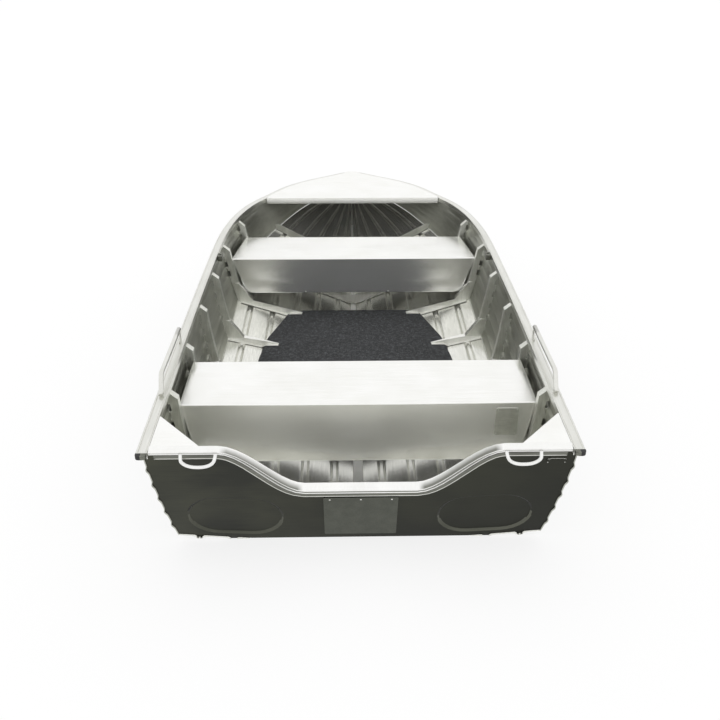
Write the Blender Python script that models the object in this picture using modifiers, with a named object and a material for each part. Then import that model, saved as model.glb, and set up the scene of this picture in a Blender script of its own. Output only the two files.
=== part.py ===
import math

import bmesh
import bpy
from mathutils import Vector

# Open pressed-aluminium dinghy. Metres. X is to starboard, Y to the bow, Z up.
# The hull is drawn from the transom's top edge (Y 0) and the keel's inner face (Z 0).
# An empty then moves it all, so that the world origin is at its waterline, amidships.

# Driving dimensions
ORIGIN_STATION = 1.50
WATERLINE = 0.062
SHEET = 0.002
GAP = 0.0003
CENTRE_GAP = 0.003
SEAM_GAP = 0.003

TRANSOM_TOP = 0.5433
TRANSOM_RAKE = math.radians(15.8)
TRANSOM_SHEET = 0.003
TRANSOM_EDGE_CLEAR = 0.0001
TRANSOM_SHOULDER = 0.8
SHEET_OVERHANG = 0.004

BOTTOM_SWAGES = (0.145, 0.330, 0.515, 0.700, 0.885)
BOTTOM_SWAGE_BASE = 0.054
BOTTOM_SWAGE_CREST = 0.024
BOTTOM_SWAGE_DEPTH = 0.011
SIDE_SWAGES = (0.13, 0.31, 0.48, 0.65, 0.83)
SIDE_SWAGE_BASE = 0.090
SIDE_SWAGE_CREST = 0.020
SIDE_SWAGE_DEPTH = 0.006
SIDE_SWAGE_FORWARD_DEPTH = 0.0035
SWAGE_EASE_STATION = 1.20
SIDE_BULGE = 0.009
FADE_WIDTH = 0.35
FADE_POWER = 1.5

GUNWALE_WIDTH = 0.038
GUNWALE_HEIGHT = 0.014
GUNWALE_LIP = 0.010
GUNWALE_LIP_SHEET = 0.003
GUNWALE_EDGE = 0.004
GUNWALE_END_X = 0.0105
CAP_LENGTH = 0.019
CAP_INSET = 0.0015
CAP_RADIUS = 0.012
CAP_ROUND = 0.002

KEEL_WIDTH = 0.018
KEEL_DEPTH = 0.022
KEEL_FOOT_SHARE = 0.8
KEEL_THIN_END = 3.10
KEEL_THIN_LENGTH = 0.60
KEEL_THIN_LEAST = 0.45
STEM_SHARES = (0.15, 0.75)
KEELSON_WIDTH = 0.040
KEELSON_NOSE_WIDTH = 0.012
KEELSON_THICK = 0.003
KEELSON_AFT_END = 0.25
KEELSON_FORE_END = 2.88
KEELSON_NOSE_START = 1.9
KEELSON_NOSE_LENGTH = 0.8
KEELSON_CLEAR = 0.0012

RIB_FIRST = 0.411
RIB_PITCH = 0.3612
RIB_COUNT = 6
RIB_WIDTH = 0.030
RIB_DEPTH = 0.037
RIB_SHEET = 0.002
RIB_TOP_CUT = 0.028
RIB_TIP_DEPTH = 0.006
RIB_STEPS = 5
FRAME_HEIGHT = 0.024
FRAME_CENTRE_HEIGHT = 0.052
FORE_FRAME_HEIGHT = 0.034
FRAME_TIP_HEIGHT = 0.004
FRAME_TAPER = 0.060
FRAME_CLEAR = 0.0012
TWIST_START = 2.0
TWIST_CLEAR = 0.004
POCKET_REACH = 0.004
KNEE_RISE = 0.100
KNEE_RUN = 0.080
KNEE_LEDGE = 0.006
FRAME_TIPS = (
    # inboard end of each floor frame, X; 0 runs through to the other side
    0.400, 0.400, 0.400, 0.386, 0.283, 0.0, 0.0,
)
KEELSON_NOTCH = 0.002
KEELSON_TOP_CLEAR = 0.0035

RAIL_WIDTH = 0.026
RAIL_HEIGHT = 0.018
RAIL_SOFT_SHARE = 0.28
RAIL_DIP_SCALE = 1.30
RAIL_SIDE_Z = 0.540
RAIL_DIP_Z = 0.338
DIP_INNER_X = 0.190
DIP_OUTER_X = 0.460
RAIL_SET_BACK = 0.007
RAIL_END_GAP = 0.0035

PAD_WIDTH = 0.256
PAD_TOP = 0.304
PAD_BOTTOM = 0.091
PAD_THICK = 0.006
PAD_RADIUS = 0.004
INNER_PAD_THICK = 0.028
INNER_PAD_RADIUS = 0.008

BUNG_X = 0.092
BUNG_Z = 0.037
BUNG_RADIUS = 0.0145
BUNG_THICK = 0.008
BUNG_GRIP = 0.005
TAG_X = 0.634
TAG_Z = 0.484
TAG_LENGTH = 0.066
TAG_HEIGHT = 0.022
TAG_THICK = 0.0016

HANDLE_ROD = 0.0055
HANDLE_OUTER_X = 0.573
HANDLE_INNER_X = 0.462
HANDLE_LOW_INNER_X = 0.482
HANDLE_DROP = 0.040
HANDLE_REACH = 0.024
HANDLE_BEND = 0.017

GUSSET_ALONG_RAIL = 0.163
GUSSET_ALONG_GUNWALE = 0.185
GUSSET_SHEET = 0.0025
GUSSET_BLUNT = 0.004

SEAT_TOP = 0.448
SEAT_DROP_AFT = 0.262
SEAT_DROP_FORWARD = 0.200
SEAT_EDGE_RADIUS = 0.006
SEAT_END_GAP = 0.028
SEAT_LOW_GAP = 0.068
SEAT_FLOOR_GAP = 0.012
SEAT_CORNER = 0.045
SEAT_CORNER_SHARE = 0.35

PLATE_X = 0.557
PLATE_Z = 0.364
PLATE_WIDTH = 0.086
PLATE_HEIGHT = 0.120
PLATE_THICK = 0.0015
PLATE_RADIUS = 0.008

DECK_AFT_STATION = 2.533
DECK_STOPS = (2.563, 2.650, 2.740, 2.820, 2.890, 2.940, 2.970)
DECK_NOSE_STATION = 2.990
DECK_NOSE_HALF = 0.030
DECK_NOSE_LAP = 0.004
DECK_COLUMNS = 8
DECK_LIP = 0.033
DECK_LAP = 0.007
DECK_LIP_TAPER = 0.002
DECK_CORNER = 0.011
DECK_CLEAR = 0.0012

MAT_THICK = 0.008
MAT_CLEAR = 0.0015
MAT_EDGE_GAP = 0.003
MAT_STATIONS = (
    # half-width, rib pitches forward of the first rib
    (0.501, 1.0188),
    (0.474, 2.5581),
    (0.448, 3.1617),
    (0.359, 3.9507),
    (0.281, 4.0532),
)

GRAB_TUBE = 0.0095
GRAB_RISE = 0.050
GRAB_AFT_FOOT = 0.330
GRAB_AFT_BEND = 0.405
GRAB_FORE_END = 0.752
GRAB_FORE_LIFT = 0.002
GRAB_BEND = 0.060
GRAB_FOOT_INSET = 0.002
GRAB_FOOT_LIFT = 0.006
GRAB_OUTSET = 0.007
GRAB_POST_SHEET = 0.004
GRAB_POST_INSET = 0.003
GRAB_POST_FOOT = (-0.030, 0.006)
GRAB_POST_HEAD = (-0.012, -0.002)
GRAB_TRIM = 0.1

ROWLOCK_STATION = 1.665
ROWLOCK_LENGTH = 0.048
ROWLOCK_BREADTH = 0.024
ROWLOCK_BORE = 0.0065
ROWLOCK_HEIGHT = 0.030
ROWLOCK_ROUND = 0.004

EYE_ROD = 0.005
EYE_Z = 0.380
EYE_WIDTH = 0.044
EYE_REACH = 0.034
EYE_BEND = 0.018

# Hull lines, from the transom to the stem: keel Y and Z, then chine X, Y and Z,
# then the X, Y and Z of the gunwale's top over the side sheet.
HULL_ROWS = (
    # keelY, keelZ, chineX, chineY, chineZ, topX, topY, topZ
    (0.000, 0.012, 0.652, 0.000, 0.090, 0.697, 0.000, 0.5433),
    (0.411, 0.012, 0.656, 0.411, 0.100, 0.702, 0.411, 0.5465),
    (0.950, 0.012, 0.656, 0.950, 0.129, 0.708, 0.950, 0.5495),
    (1.495, 0.012, 0.642, 1.495, 0.1735, 0.707, 1.495, 0.5535),
    (1.856, 0.013, 0.631, 1.856, 0.220, 0.702, 1.856, 0.5573),
    (2.090, 0.018, 0.612, 2.090, 0.257, 0.686, 2.070, 0.5600),
    (2.280, 0.030, 0.584, 2.290, 0.297, 0.652, 2.260, 0.5634),
    (2.440, 0.055, 0.532, 2.460, 0.336, 0.591, 2.440, 0.5670),
    (2.580, 0.095, 0.442, 2.610, 0.376, 0.497, 2.600, 0.5710),
    (2.710, 0.155, 0.345, 2.745, 0.418, 0.407, 2.740, 0.5755),
    (2.820, 0.235, 0.240, 2.850, 0.452, 0.294, 2.850, 0.5795),
    (2.905, 0.335, 0.135, 2.930, 0.476, 0.155, 2.940, 0.5840),
    (2.962, 0.435, 0.060, 2.975, 0.492, 0.065, 3.000, 0.5870),
    (2.984, 0.482, 0.007, 2.992, 0.500, 0.007, 3.029, 0.5890),
)
FIRST_SMOOTH_ROW = 1

COLOURS = {
    # name: (red, green, blue, metallic, roughness)
    "brightAluminium": (0.80, 0.80, 0.78, 1.0, 0.35),
    "hullAluminium": (0.34, 0.34, 0.32, 1.0, 0.45),
    "transomGrey": (0.07, 0.07, 0.065, 1.0, 0.40),
    "whitePowder": (0.85, 0.85, 0.85, 0.0, 0.40),
    "blackPlastic": (0.02, 0.02, 0.02, 0.0, 0.50),
    "charcoalCarpet": (0.04, 0.04, 0.045, 0.0, 0.95),
}


def clearScene():
    for item in list(bpy.data.objects):
        bpy.data.objects.remove(item, do_unlink=True)


def makeCollection(name):
    collection = bpy.data.collections.new(name)
    bpy.context.scene.collection.children.link(collection)
    return collection


clearScene()
boat = makeCollection("aluminiumBoat")
cutters = makeCollection("cutters")
datum = bpy.data.objects.new("waterlineDatum", None)
datum.location = (0.0, -ORIGIN_STATION, -WATERLINE)
boat.objects.link(datum)


def makeMaterial(name):
    red, green, blue, metallic, roughness = COLOURS[name]
    material = bpy.data.materials.new(name)
    material.use_nodes = True
    shader = material.node_tree.nodes["Principled BSDF"]
    shader.inputs["Base Color"].default_value = (red, green, blue, 1.0)
    shader.inputs["Metallic"].default_value = metallic
    shader.inputs["Roughness"].default_value = roughness
    material.diffuse_color = (red, green, blue, 1.0)
    return material


materials = {name: makeMaterial(name) for name in COLOURS}


def addPart(name, data, material, rotation=(0.0, 0.0, 0.0), location=(0.0, 0.0, 0.0)):
    part = bpy.data.objects.new(name, data)
    boat.objects.link(part)
    part.rotation_euler = rotation
    part.location = location
    part.parent = datum
    data.materials.append(materials[material])
    return part


# ---------- hull lines ----------

def planeY(z):
    """Y of the transom's outer face at height z."""
    return (TRANSOM_TOP - z) * math.tan(TRANSOM_RAKE)


def hullRow(row):
    keelY, keelZ, chineX, chineY, chineZ, topX, topY, topZ = row
    keel = Vector((0.0, keelY, keelZ))
    chine = Vector((chineX, chineY, chineZ))
    top = Vector((topX, topY, topZ))
    return [keel, chine, top]


def catmull(before, start, end, after, share):
    linear = (end - before) * share
    square = (before * 2.0 - start * 5.0 + end * 4.0 - after) * share ** 2
    cube = (start * 3.0 - before - end * 3.0 + after) * share ** 3
    return start + (linear + square + cube) * 0.5


def fairSections(rows, smoothSteps):
    """Rows of [keel, chine, top], with in-between rows where the hull curves."""
    sections = []
    for index in range(len(rows) - 1):
        steps = smoothSteps if index >= FIRST_SMOOTH_ROW else 1
        for step in range(steps):
            share = step / steps
            before = rows[max(index - 1, 0)]
            after = rows[min(index + 2, len(rows) - 1)]
            section = [
                catmull(before[line], rows[index][line], rows[index + 1][line], after[line], share)
                for line in range(3)
            ]
            sections.append(section)
    sections.append(rows[-1])
    return sections


baseRows = [hullRow(row) for row in HULL_ROWS]
for point in baseRows[0]:
    point.y = planeY(point.z) - SHEET_OVERHANG
hullSections = fairSections(baseRows, 2)
lineSections = fairSections(baseRows, 4)


def lineAt(line, y):
    """Point of the keel (0), chine (1) or gunwale (2) line at station y."""
    for start, end in zip(hullSections, hullSections[1:]):
        if start[line].y <= y <= end[line].y:
            share = (y - start[line].y) / (end[line].y - start[line].y)
            return start[line].lerp(end[line], share)
    return (hullSections[0] if y < 1.0 else hullSections[-1])[line].copy()


def floorZ(x, y):
    """Height of the bottom sheet's inner face at x, y, away from its swages."""
    keel = lineAt(0, y)
    chine = lineAt(1, y)
    slope = (chine.z - keel.z) / chine.x
    return keel.z + slope * abs(x) + SHEET * math.hypot(1.0, slope)


def fade(width):
    """Share of a panel's pressing and bulge at a place where the panel is this wide."""
    least = (hullSections[-1][2] - hullSections[-1][1]).length
    return min(1.0, max(0.0, (width - least) / FADE_WIDTH)) ** FADE_POWER


def bulge(share, width):
    """How far the side sheet swells outward at a share of its height."""
    return SIDE_BULGE * 4.0 * share * (1.0 - share) * fade(width)


def sideX(z, y, depth):
    """Half-breadth at height z and station y, a depth inside the side sheet's outer face."""
    chine = lineAt(1, y)
    top = lineAt(2, y)
    slope = (top.x - chine.x) / (top.z - chine.z)
    share = min(1.0, max(0.0, (z - chine.z) / (top.z - chine.z)))
    swell = bulge(share, (top - chine).length)
    return chine.x + slope * (z - chine.z) + swell - depth * math.hypot(1.0, slope)


# ---------- shape tools ----------

def gridMesh(name, rows, closedRows=False):
    """Faces between rows that hold as many points each."""
    mesh = bpy.data.meshes.new(name)
    shape = bmesh.new()
    grid = [[shape.verts.new(point) for point in row] for row in rows]
    count = len(rows[0])
    last = count if closedRows else count - 1
    for lower, upper in zip(grid, grid[1:]):
        for index in range(last):
            following = (index + 1) % count
            shape.faces.new((lower[index], lower[following], upper[following], upper[index]))
    if closedRows:
        shape.faces.new(list(reversed(grid[0])))
        shape.faces.new(grid[-1])
        bmesh.ops.recalc_face_normals(shape, faces=shape.faces)
    shape.to_mesh(mesh)
    shape.free()
    return mesh


def smoothByAngle(part, degrees):
    part.data.shade_smooth()
    part.data.set_sharp_from_angle(angle=math.radians(degrees))


def thicken(part, thickness, offset):
    shell = part.modifiers.new("sheet", "SOLIDIFY")
    shell.thickness = thickness
    shell.offset = offset
    shell.use_even_offset = True
    return shell


def roundEdges(part, width, segments, degrees=30.0):
    bevel = part.modifiers.new("edges", "BEVEL")
    bevel.width = width
    bevel.segments = segments
    bevel.limit_method = "ANGLE"
    bevel.angle_limit = math.radians(degrees)
    return bevel


def outlineCurve(name, outline, thickness):
    """A flat filled outline in local X and Y, centred on local Z 0."""
    curve = bpy.data.curves.new(name, "CURVE")
    curve.dimensions = "2D"
    curve.fill_mode = "BOTH"
    curve.extrude = thickness / 2.0
    spline = curve.splines.new("POLY")
    spline.points.add(len(outline) - 1)
    for point, place in zip(spline.points, outline):
        point.co = (place[0], place[1], 0.0, 1.0)
    spline.use_cyclic_u = True
    return curve


def curveToMesh(name, curve):
    """The curve as a mesh with welded caps."""
    holder = bpy.data.objects.new(name, curve)
    bpy.context.scene.collection.objects.link(holder)
    evaluated = holder.evaluated_get(bpy.context.evaluated_depsgraph_get())
    mesh = bpy.data.meshes.new_from_object(evaluated)
    bpy.data.objects.remove(holder, do_unlink=True)
    shape = bmesh.new()
    shape.from_mesh(mesh)
    bmesh.ops.remove_doubles(shape, verts=shape.verts, dist=0.00001)
    bmesh.ops.recalc_face_normals(shape, faces=shape.faces)
    shape.to_mesh(mesh)
    shape.free()
    mesh.name = name
    return mesh


def roundedPath(corners, radius, steps=4):
    """The corner points, with each inner corner replaced by a short arc."""
    places = [Vector(corner) for corner in corners]
    path = [places[0]]
    for before, corner, after in zip(places, places[1:], places[2:]):
        back = (before - corner).normalized()
        ahead = (after - corner).normalized()
        turn = back.angle(ahead)
        reach = radius / math.tan(turn / 2.0)
        middle = (back + ahead).normalized()
        centre = corner + middle * (radius / math.sin(turn / 2.0))
        start = corner + back * reach - centre
        end = corner + ahead * reach - centre
        for step in range(steps + 1):
            path.append(centre + start.lerp(end, step / steps).normalized() * radius)
    path.append(places[-1])
    return path


def tubeCurve(name, path, radius, resolution=2):
    curve = bpy.data.curves.new(name, "CURVE")
    curve.dimensions = "3D"
    curve.bevel_depth = radius
    curve.bevel_resolution = resolution
    curve.use_fill_caps = True
    spline = curve.splines.new("POLY")
    spline.points.add(len(path) - 1)
    for point, place in zip(spline.points, path):
        point.co = (place[0], place[1], place[2], 1.0)
    return curve


def sweptCurve(name, path, profile, radii=None):
    """A closed profile (local side, local up) carried along a path, kept upright."""
    section = bpy.data.curves.new(name + "Profile", "CURVE")
    section.dimensions = "2D"
    section.fill_mode = "NONE"
    outline = section.splines.new("POLY")
    outline.points.add(len(profile) - 1)
    for point, place in zip(outline.points, profile):
        point.co = (place[0], place[1], 0.0, 1.0)
    outline.use_cyclic_u = True
    guide = bpy.data.objects.new(name + "Profile", section)
    cutters.objects.link(guide)
    guide.hide_render = True
    guide.display_type = "WIRE"
    curve = bpy.data.curves.new(name, "CURVE")
    curve.dimensions = "3D"
    curve.twist_mode = "Z_UP"
    curve.bevel_mode = "OBJECT"
    curve.bevel_object = guide
    curve.use_fill_caps = True
    spline = curve.splines.new("POLY")
    spline.points.add(len(path) - 1)
    for index, place in enumerate(path):
        spline.points[index].co = (place[0], place[1], place[2], 1.0)
        spline.points[index].radius = radii[index] if radii else 1.0
    return curve


def mirrored(points):
    return [Vector((-point.x, point.y, point.z)) for point in points]


SIDES = (("Starboard", 1.0), ("Port", -1.0))


# ---------- hull sheets ----------

def swageStops(centres, base, crest):
    """Shares across a panel with the share of the swage's depth at each."""
    stops = [(0.0, 0.0)]
    for centre in centres:
        stops.append((centre - base / 2.0, 0.0))
        stops.append((centre - crest / 2.0, 1.0))
        stops.append((centre + crest / 2.0, 1.0))
        stops.append((centre + base / 2.0, 0.0))
    stops.append((1.0, 0.0))
    return stops


def panelRows(edges, stops, depths, swell):
    """Points across each section of a panel between two edge lines, pressed outward.

    depths are the swages' depths at the transom and further forward; swell bends the panel outward."""
    rows = []
    lastWidth = (edges[-1][1] - edges[-1][0]).length
    for index, (low, high) in enumerate(edges):
        across = high - low
        lowBefore, highBefore = edges[max(index - 1, 0)]
        lowAfter, highAfter = edges[min(index + 1, len(edges) - 1)]
        along = (lowAfter + highAfter) - (lowBefore + highBefore)
        outward = along.cross(across).normalized()
        ease = min(1.0, low.y / SWAGE_EASE_STATION)
        narrow = min(1.0, (across.length - lastWidth) / FADE_WIDTH) ** FADE_POWER
        press = (depths[0] + (depths[1] - depths[0]) * ease) * narrow
        row = []
        for share, deep in stops:
            rise = press * deep + (bulge(share, across.length) if swell else 0.0)
            row.append(low + across * share + outward * rise)
        rows.append(row)
    return rows


def bottomEdges():
    edges = []
    for keel, chine, top in hullSections:
        start = keel.lerp(chine, CENTRE_GAP / chine.x)
        edges.append((start, chine))
    return edges


def sideEdges():
    edges = []
    for keel, chine, top in hullSections:
        rise = top - chine
        seam = rise.normalized() * SEAM_GAP
        end = top - rise * ((GUNWALE_HEIGHT + 3.0 * GAP) / rise.z)
        edges.append((chine + seam, end))
    return edges


bottomStops = swageStops(BOTTOM_SWAGES, BOTTOM_SWAGE_BASE, BOTTOM_SWAGE_CREST)
sideStops = swageStops(SIDE_SWAGES, SIDE_SWAGE_BASE, SIDE_SWAGE_CREST)
bottomRows = panelRows(bottomEdges(), bottomStops, (BOTTOM_SWAGE_DEPTH, BOTTOM_SWAGE_DEPTH), False)
sideRows = panelRows(sideEdges(), sideStops, (SIDE_SWAGE_DEPTH, SIDE_SWAGE_FORWARD_DEPTH), True)


def hullSheet(name, rows, side):
    placed = rows if side > 0 else [mirrored(row) for row in rows]
    part = addPart(name, gridMesh(name, placed), "hullAluminium")
    thicken(part, SHEET, side)
    smoothByAngle(part, 25.0)
    return part


for label, side in SIDES:
    hullSheet("hullBottom" + label, bottomRows, side)
    hullSheet("hullSide" + label, sideRows, side)


# ---------- keel and keelson ----------

def keelFrame(index, sections):
    """Keel point of a section with its outward (down and forward) direction."""
    before = sections[max(index - 1, 0)][0]
    after = sections[min(index + 1, len(sections) - 1)][0]
    along = (after - before).normalized()
    return sections[index][0], Vector((0.0, along.z, -along.y))


def keelDepth(y):
    """Depth of the keel bar, which thins towards the stem."""
    return KEEL_DEPTH * min(1.0, max(KEEL_THIN_LEAST, (KEEL_THIN_END - y) / KEEL_THIN_LENGTH))


def keelBar():
    rows = []
    stem = [[keel] for keel, chine, top in hullSections]
    chine, top = hullSections[-1][1:]
    for share in STEM_SHARES:
        stem.append([Vector((0.0, *chine.lerp(top, share).yz))])
    for index in range(len(stem)):
        point, outward = keelFrame(index, stem)
        root = point + outward * GAP
        low = point + outward * (GAP + keelDepth(point.y))
        half = Vector((KEEL_WIDTH / 2.0, 0.0, 0.0))
        foot = half * KEEL_FOOT_SHARE
        rows.append([root + half, root - half, low - foot, low + foot])
    part = addPart("keel", gridMesh("keel", rows, True), "hullAluminium")
    smoothByAngle(part, 30.0)


def keelson():
    rows = []
    for index, section in enumerate(hullSections):
        point, outward = keelFrame(index, hullSections)
        if not KEELSON_AFT_END <= point.y <= KEELSON_FORE_END:
            continue
        chine = section[1]
        nose = min(1.0, max(0.0, (point.y - KEELSON_NOSE_START) / KEELSON_NOSE_LENGTH))
        half = (KEELSON_WIDTH * (1.0 - nose) + KEELSON_NOSE_WIDTH * nose) / 2.0
        steep = (chine - section[0]).dot(-outward) / chine.x
        lift = (half * steep + SHEET) * math.hypot(1.0, steep) + KEELSON_CLEAR
        low = point - outward * lift
        high = low - outward * KEELSON_THICK
        across = Vector((half, 0.0, 0.0))
        rows.append([low + across, low - across, high - across, high + across])
    part = addPart("keelson", gridMesh("keelson", rows, True), "brightAluminium")
    smoothByAngle(part, 30.0)


keelBar()
keelson()


# ---------- transom ----------

def inTransom(x, z):
    """Local X and Y of a point on the transom's outer face."""
    return (x, z / math.cos(TRANSOM_RAKE))


TRANSOM_TURN = (math.pi / 2.0 + TRANSOM_RAKE, 0.0, 0.0)


def transomPoint(z, outward):
    """World place, on the centreline, of the transom's face at height z, moved outward."""
    normal = Vector((0.0, -math.cos(TRANSOM_RAKE), -math.sin(TRANSOM_RAKE)))
    return Vector((0.0, planeY(z), z)) + normal * outward


def insetLine(points, distance):
    """An open line moved to its left by a distance, with mitred corners."""
    moved = []
    for index, place in enumerate(points):
        here = Vector(place)
        before = Vector(points[max(index - 1, 0)])
        after = Vector(points[min(index + 1, len(points) - 1)])
        directions = [step.normalized() for step in (here - before, after - here) if step.length > 0.0]
        normals = [Vector((-step.y, step.x)) for step in directions]
        middle = sum(normals, Vector((0.0, 0.0))).normalized()
        moved.append(here + middle * (distance / middle.dot(normals[0])))
    return moved


def railZ(x):
    """Height of the transom rail's centre at x: two level runs joined by smooth curves."""
    share = (abs(x) - DIP_INNER_X) / (DIP_OUTER_X - DIP_INNER_X)
    share = min(1.0, max(0.0, share))
    return RAIL_DIP_Z + (RAIL_SIDE_Z - RAIL_DIP_Z) * share * share * (3.0 - 2.0 * share)


def railScale(x):
    share = (RAIL_SIDE_Z - railZ(x)) / (RAIL_SIDE_Z - RAIL_DIP_Z)
    return 1.0 + (RAIL_DIP_SCALE - 1.0) * share


def railSlope(x):
    step = 0.001
    return (railZ(x + step) - railZ(x - step)) / (2.0 * step)


def railStations(end):
    """X stops along the rail, close together where it curves."""
    stops = [0.0, 0.10, DIP_INNER_X]
    steps = 10
    for step in range(1, steps + 1):
        stops.append(DIP_INNER_X + (DIP_OUTER_X - DIP_INNER_X) * step / steps)
    stops.append(end)
    return [-x for x in reversed(stops[1:])] + stops


sheetClear = SHEET + 2.0 * GAP
bottomLine = [inTransom(place.x, place.z) for place in bottomRows[0]]
sideLine = [inTransom(place.x, place.z) for place in sideRows[0]]
bottomInner = insetLine(bottomLine, sheetClear + TRANSOM_EDGE_CLEAR)
sideInner = insetLine(sideLine, sheetClear)


def crossing(a, b, c, d):
    """Where the line through a and b meets the line through c and d."""
    first = b - a
    second = d - c
    share = ((c - a).x * second.y - (c - a).y * second.x) / (first.x * second.y - first.y * second.x)
    return a + first * share


transomHalf = [Vector((0.0, bottomInner[0].y))] + bottomInner[1:-1]
transomHalf.append(crossing(bottomInner[-2], bottomInner[-1], sideInner[1], sideInner[0]))
transomHalf += sideInner[1:]


def railUnder(x):
    """Height of the transom sheet's top edge, just under the rail."""
    lean = math.hypot(1.0, railSlope(x))
    return railZ(x) - (RAIL_HEIGHT / 2.0 * railScale(x) + 3.0 * GAP) * lean


def transomPanel():
    side = list(transomHalf)
    shoulder = lineAt(2, 0.0).x - GUNWALE_WIDTH / 2.0 - 3.0 * GAP
    under = TRANSOM_TOP - GUNWALE_HEIGHT - GUNWALE_LIP - TRANSOM_SHEET / 2.0
    wallX = side[-2].x + (side[-1].x - side[-2].x) * TRANSOM_SHOULDER
    side[-1] = Vector(inTransom(wallX, under))
    side.append(Vector(inTransom(shoulder, under)))
    topLine = [inTransom(x, railUnder(x)) for x in railStations(shoulder)]
    right = [(place.x, place.y) for place in side]
    left = [(-place.x, place.y) for place in reversed(side[1:])]
    outline = right + [place for place in reversed(topLine)] + left
    mesh = curveToMesh("transomPanel", outlineCurve("transomPanel", outline, TRANSOM_SHEET))
    place = transomPoint(0.0, -TRANSOM_SHEET / 2.0)
    addPart("transomPanel", mesh, "transomGrey", TRANSOM_TURN, place)


def transomRail():
    end = lineAt(2, 0.0).x - GUNWALE_WIDTH / 2.0 - RAIL_END_GAP
    stops = railStations(end)
    path = [(x, railZ(x) / math.cos(TRANSOM_RAKE), 0.0) for x in stops]
    radii = [railScale(x) for x in stops]
    half = RAIL_HEIGHT / 2.0
    soft = RAIL_HEIGHT * RAIL_SOFT_SHARE
    wide = RAIL_WIDTH / 2.0
    profile = (
        (half, wide - soft),
        (half - soft, wide),
        (-half, wide),
        (-half, -wide),
        (half - soft, -wide),
        (half, -wide + soft),
    )
    mesh = curveToMesh("transomRail", sweptCurve("transomRail", path, profile, radii))
    part = addPart("transomRail", mesh, "brightAluminium", TRANSOM_TURN, transomPoint(0.0, -RAIL_SET_BACK))
    smoothByAngle(part, 35.0)


transomPanel()
transomRail()


def bluntOutline(halfWidth, low, high, radius, steps=3):
    """Rectangle with rounded corners, centred on X 0."""
    outline = []
    corners = (
        (1, low + radius, -90.0),
        (1, high - radius, 0.0),
        (-1, high - radius, 90.0),
        (-1, low + radius, 180.0),
    )
    for side, height, start in corners:
        for step in range(steps + 1):
            angle = math.radians(start + 90.0 * step / steps)
            x = side * (halfWidth - radius) + radius * math.cos(angle)
            outline.append((x, height + radius * math.sin(angle)))
    return outline


def transomPad(name, thickness, outward, radius, material):
    low = PAD_BOTTOM / math.cos(TRANSOM_RAKE)
    high = PAD_TOP / math.cos(TRANSOM_RAKE)
    outline = bluntOutline(PAD_WIDTH / 2.0, low, high, radius)
    mesh = curveToMesh(name, outlineCurve(name, outline, thickness))
    place = transomPoint(0.0, outward)
    addPart(name, mesh, material, TRANSOM_TURN, place)


transomPad("outboardPadOuter", PAD_THICK, GAP + PAD_THICK / 2.0, PAD_RADIUS, "hullAluminium")
innerPadPlace = -TRANSOM_SHEET - GAP - INNER_PAD_THICK / 2.0
transomPad("outboardPadInner", INNER_PAD_THICK, innerPadPlace, INNER_PAD_RADIUS, "hullAluminium")


# ---------- small pieces on the transom ----------

def turned(name, profile, steps, material, rotation, location):
    """A profile of (radius, height) turned about local Z."""
    mesh = bpy.data.meshes.new(name)
    shape = bmesh.new()
    points = [shape.verts.new((radius, 0.0, height)) for radius, height in profile]
    for start, end in zip(points, points[1:]):
        shape.edges.new((start, end))
    shape.to_mesh(mesh)
    shape.free()
    part = addPart(name, mesh, material, rotation, location)
    screw = part.modifiers.new("turn", "SCREW")
    screw.steps = steps
    screw.render_steps = steps
    screw.use_merge_vertices = True
    screw.merge_threshold = 0.00005
    return part


def drainBung():
    profile = (
        (0.0, BUNG_THICK),
        (BUNG_RADIUS * 0.45, BUNG_THICK),
        (BUNG_RADIUS * 0.55, BUNG_GRIP),
        (BUNG_RADIUS * 0.88, BUNG_GRIP),
        (BUNG_RADIUS, BUNG_GRIP * 0.6),
        (BUNG_RADIUS, 0.0),
        (0.0, 0.0),
    )
    place = transomPoint(BUNG_Z, GAP)
    place.x = BUNG_X
    turned("drainBung", profile, 20, "blackPlastic", TRANSOM_TURN, place)


def smallTag():
    radius = TAG_HEIGHT / 2.0 * 0.98
    outline = bluntOutline(TAG_LENGTH / 2.0, -TAG_HEIGHT / 2.0, TAG_HEIGHT / 2.0, radius, 5)
    mesh = curveToMesh("smallTag", outlineCurve("smallTag", outline, TAG_THICK))
    place = transomPoint(TAG_Z, GAP + TAG_THICK / 2.0)
    place.x = TAG_X
    addPart("smallTag", mesh, "transomGrey", TRANSOM_TURN, place)


drainBung()
smallTag()


# ---------- transom handles ----------

def transomHandle(label, side):
    start = RAIL_WIDTH / 2.0 - RAIL_SET_BACK + GAP
    end = start + HANDLE_REACH
    low = RAIL_SIDE_Z - HANDLE_DROP
    corners = []
    stops = (
        (HANDLE_OUTER_X, RAIL_SIDE_Z, start),
        (HANDLE_OUTER_X, RAIL_SIDE_Z, end),
        (HANDLE_OUTER_X, low, end),
        (HANDLE_LOW_INNER_X, low, end),
        (HANDLE_INNER_X, RAIL_SIDE_Z, end),
        (HANDLE_INNER_X, RAIL_SIDE_Z, start),
    )
    for x, z, outward in stops:
        corner = transomPoint(z, outward)
        corner.x = x * side
        corners.append(corner)
    path = roundedPath(corners, HANDLE_BEND, 4)
    curve = tubeCurve("transomHandle" + label, path, HANDLE_ROD, 2)
    addPart("transomHandle" + label, curve, "whitePowder")


for label, side in SIDES:
    transomHandle(label, side)


# ---------- gunwales ----------

def gunwalePath():
    """Centre of the gunwale's section, from the transom to the stem."""
    path = [Vector((top.x, top.y, top.z - GUNWALE_HEIGHT / 2.0)) for keel, chine, top in lineSections]
    share = (path[-1].x - GUNWALE_END_X) / (path[-1].x - path[-2].x)
    path[-1] = path[-1].lerp(path[-2], share)
    return path


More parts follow.
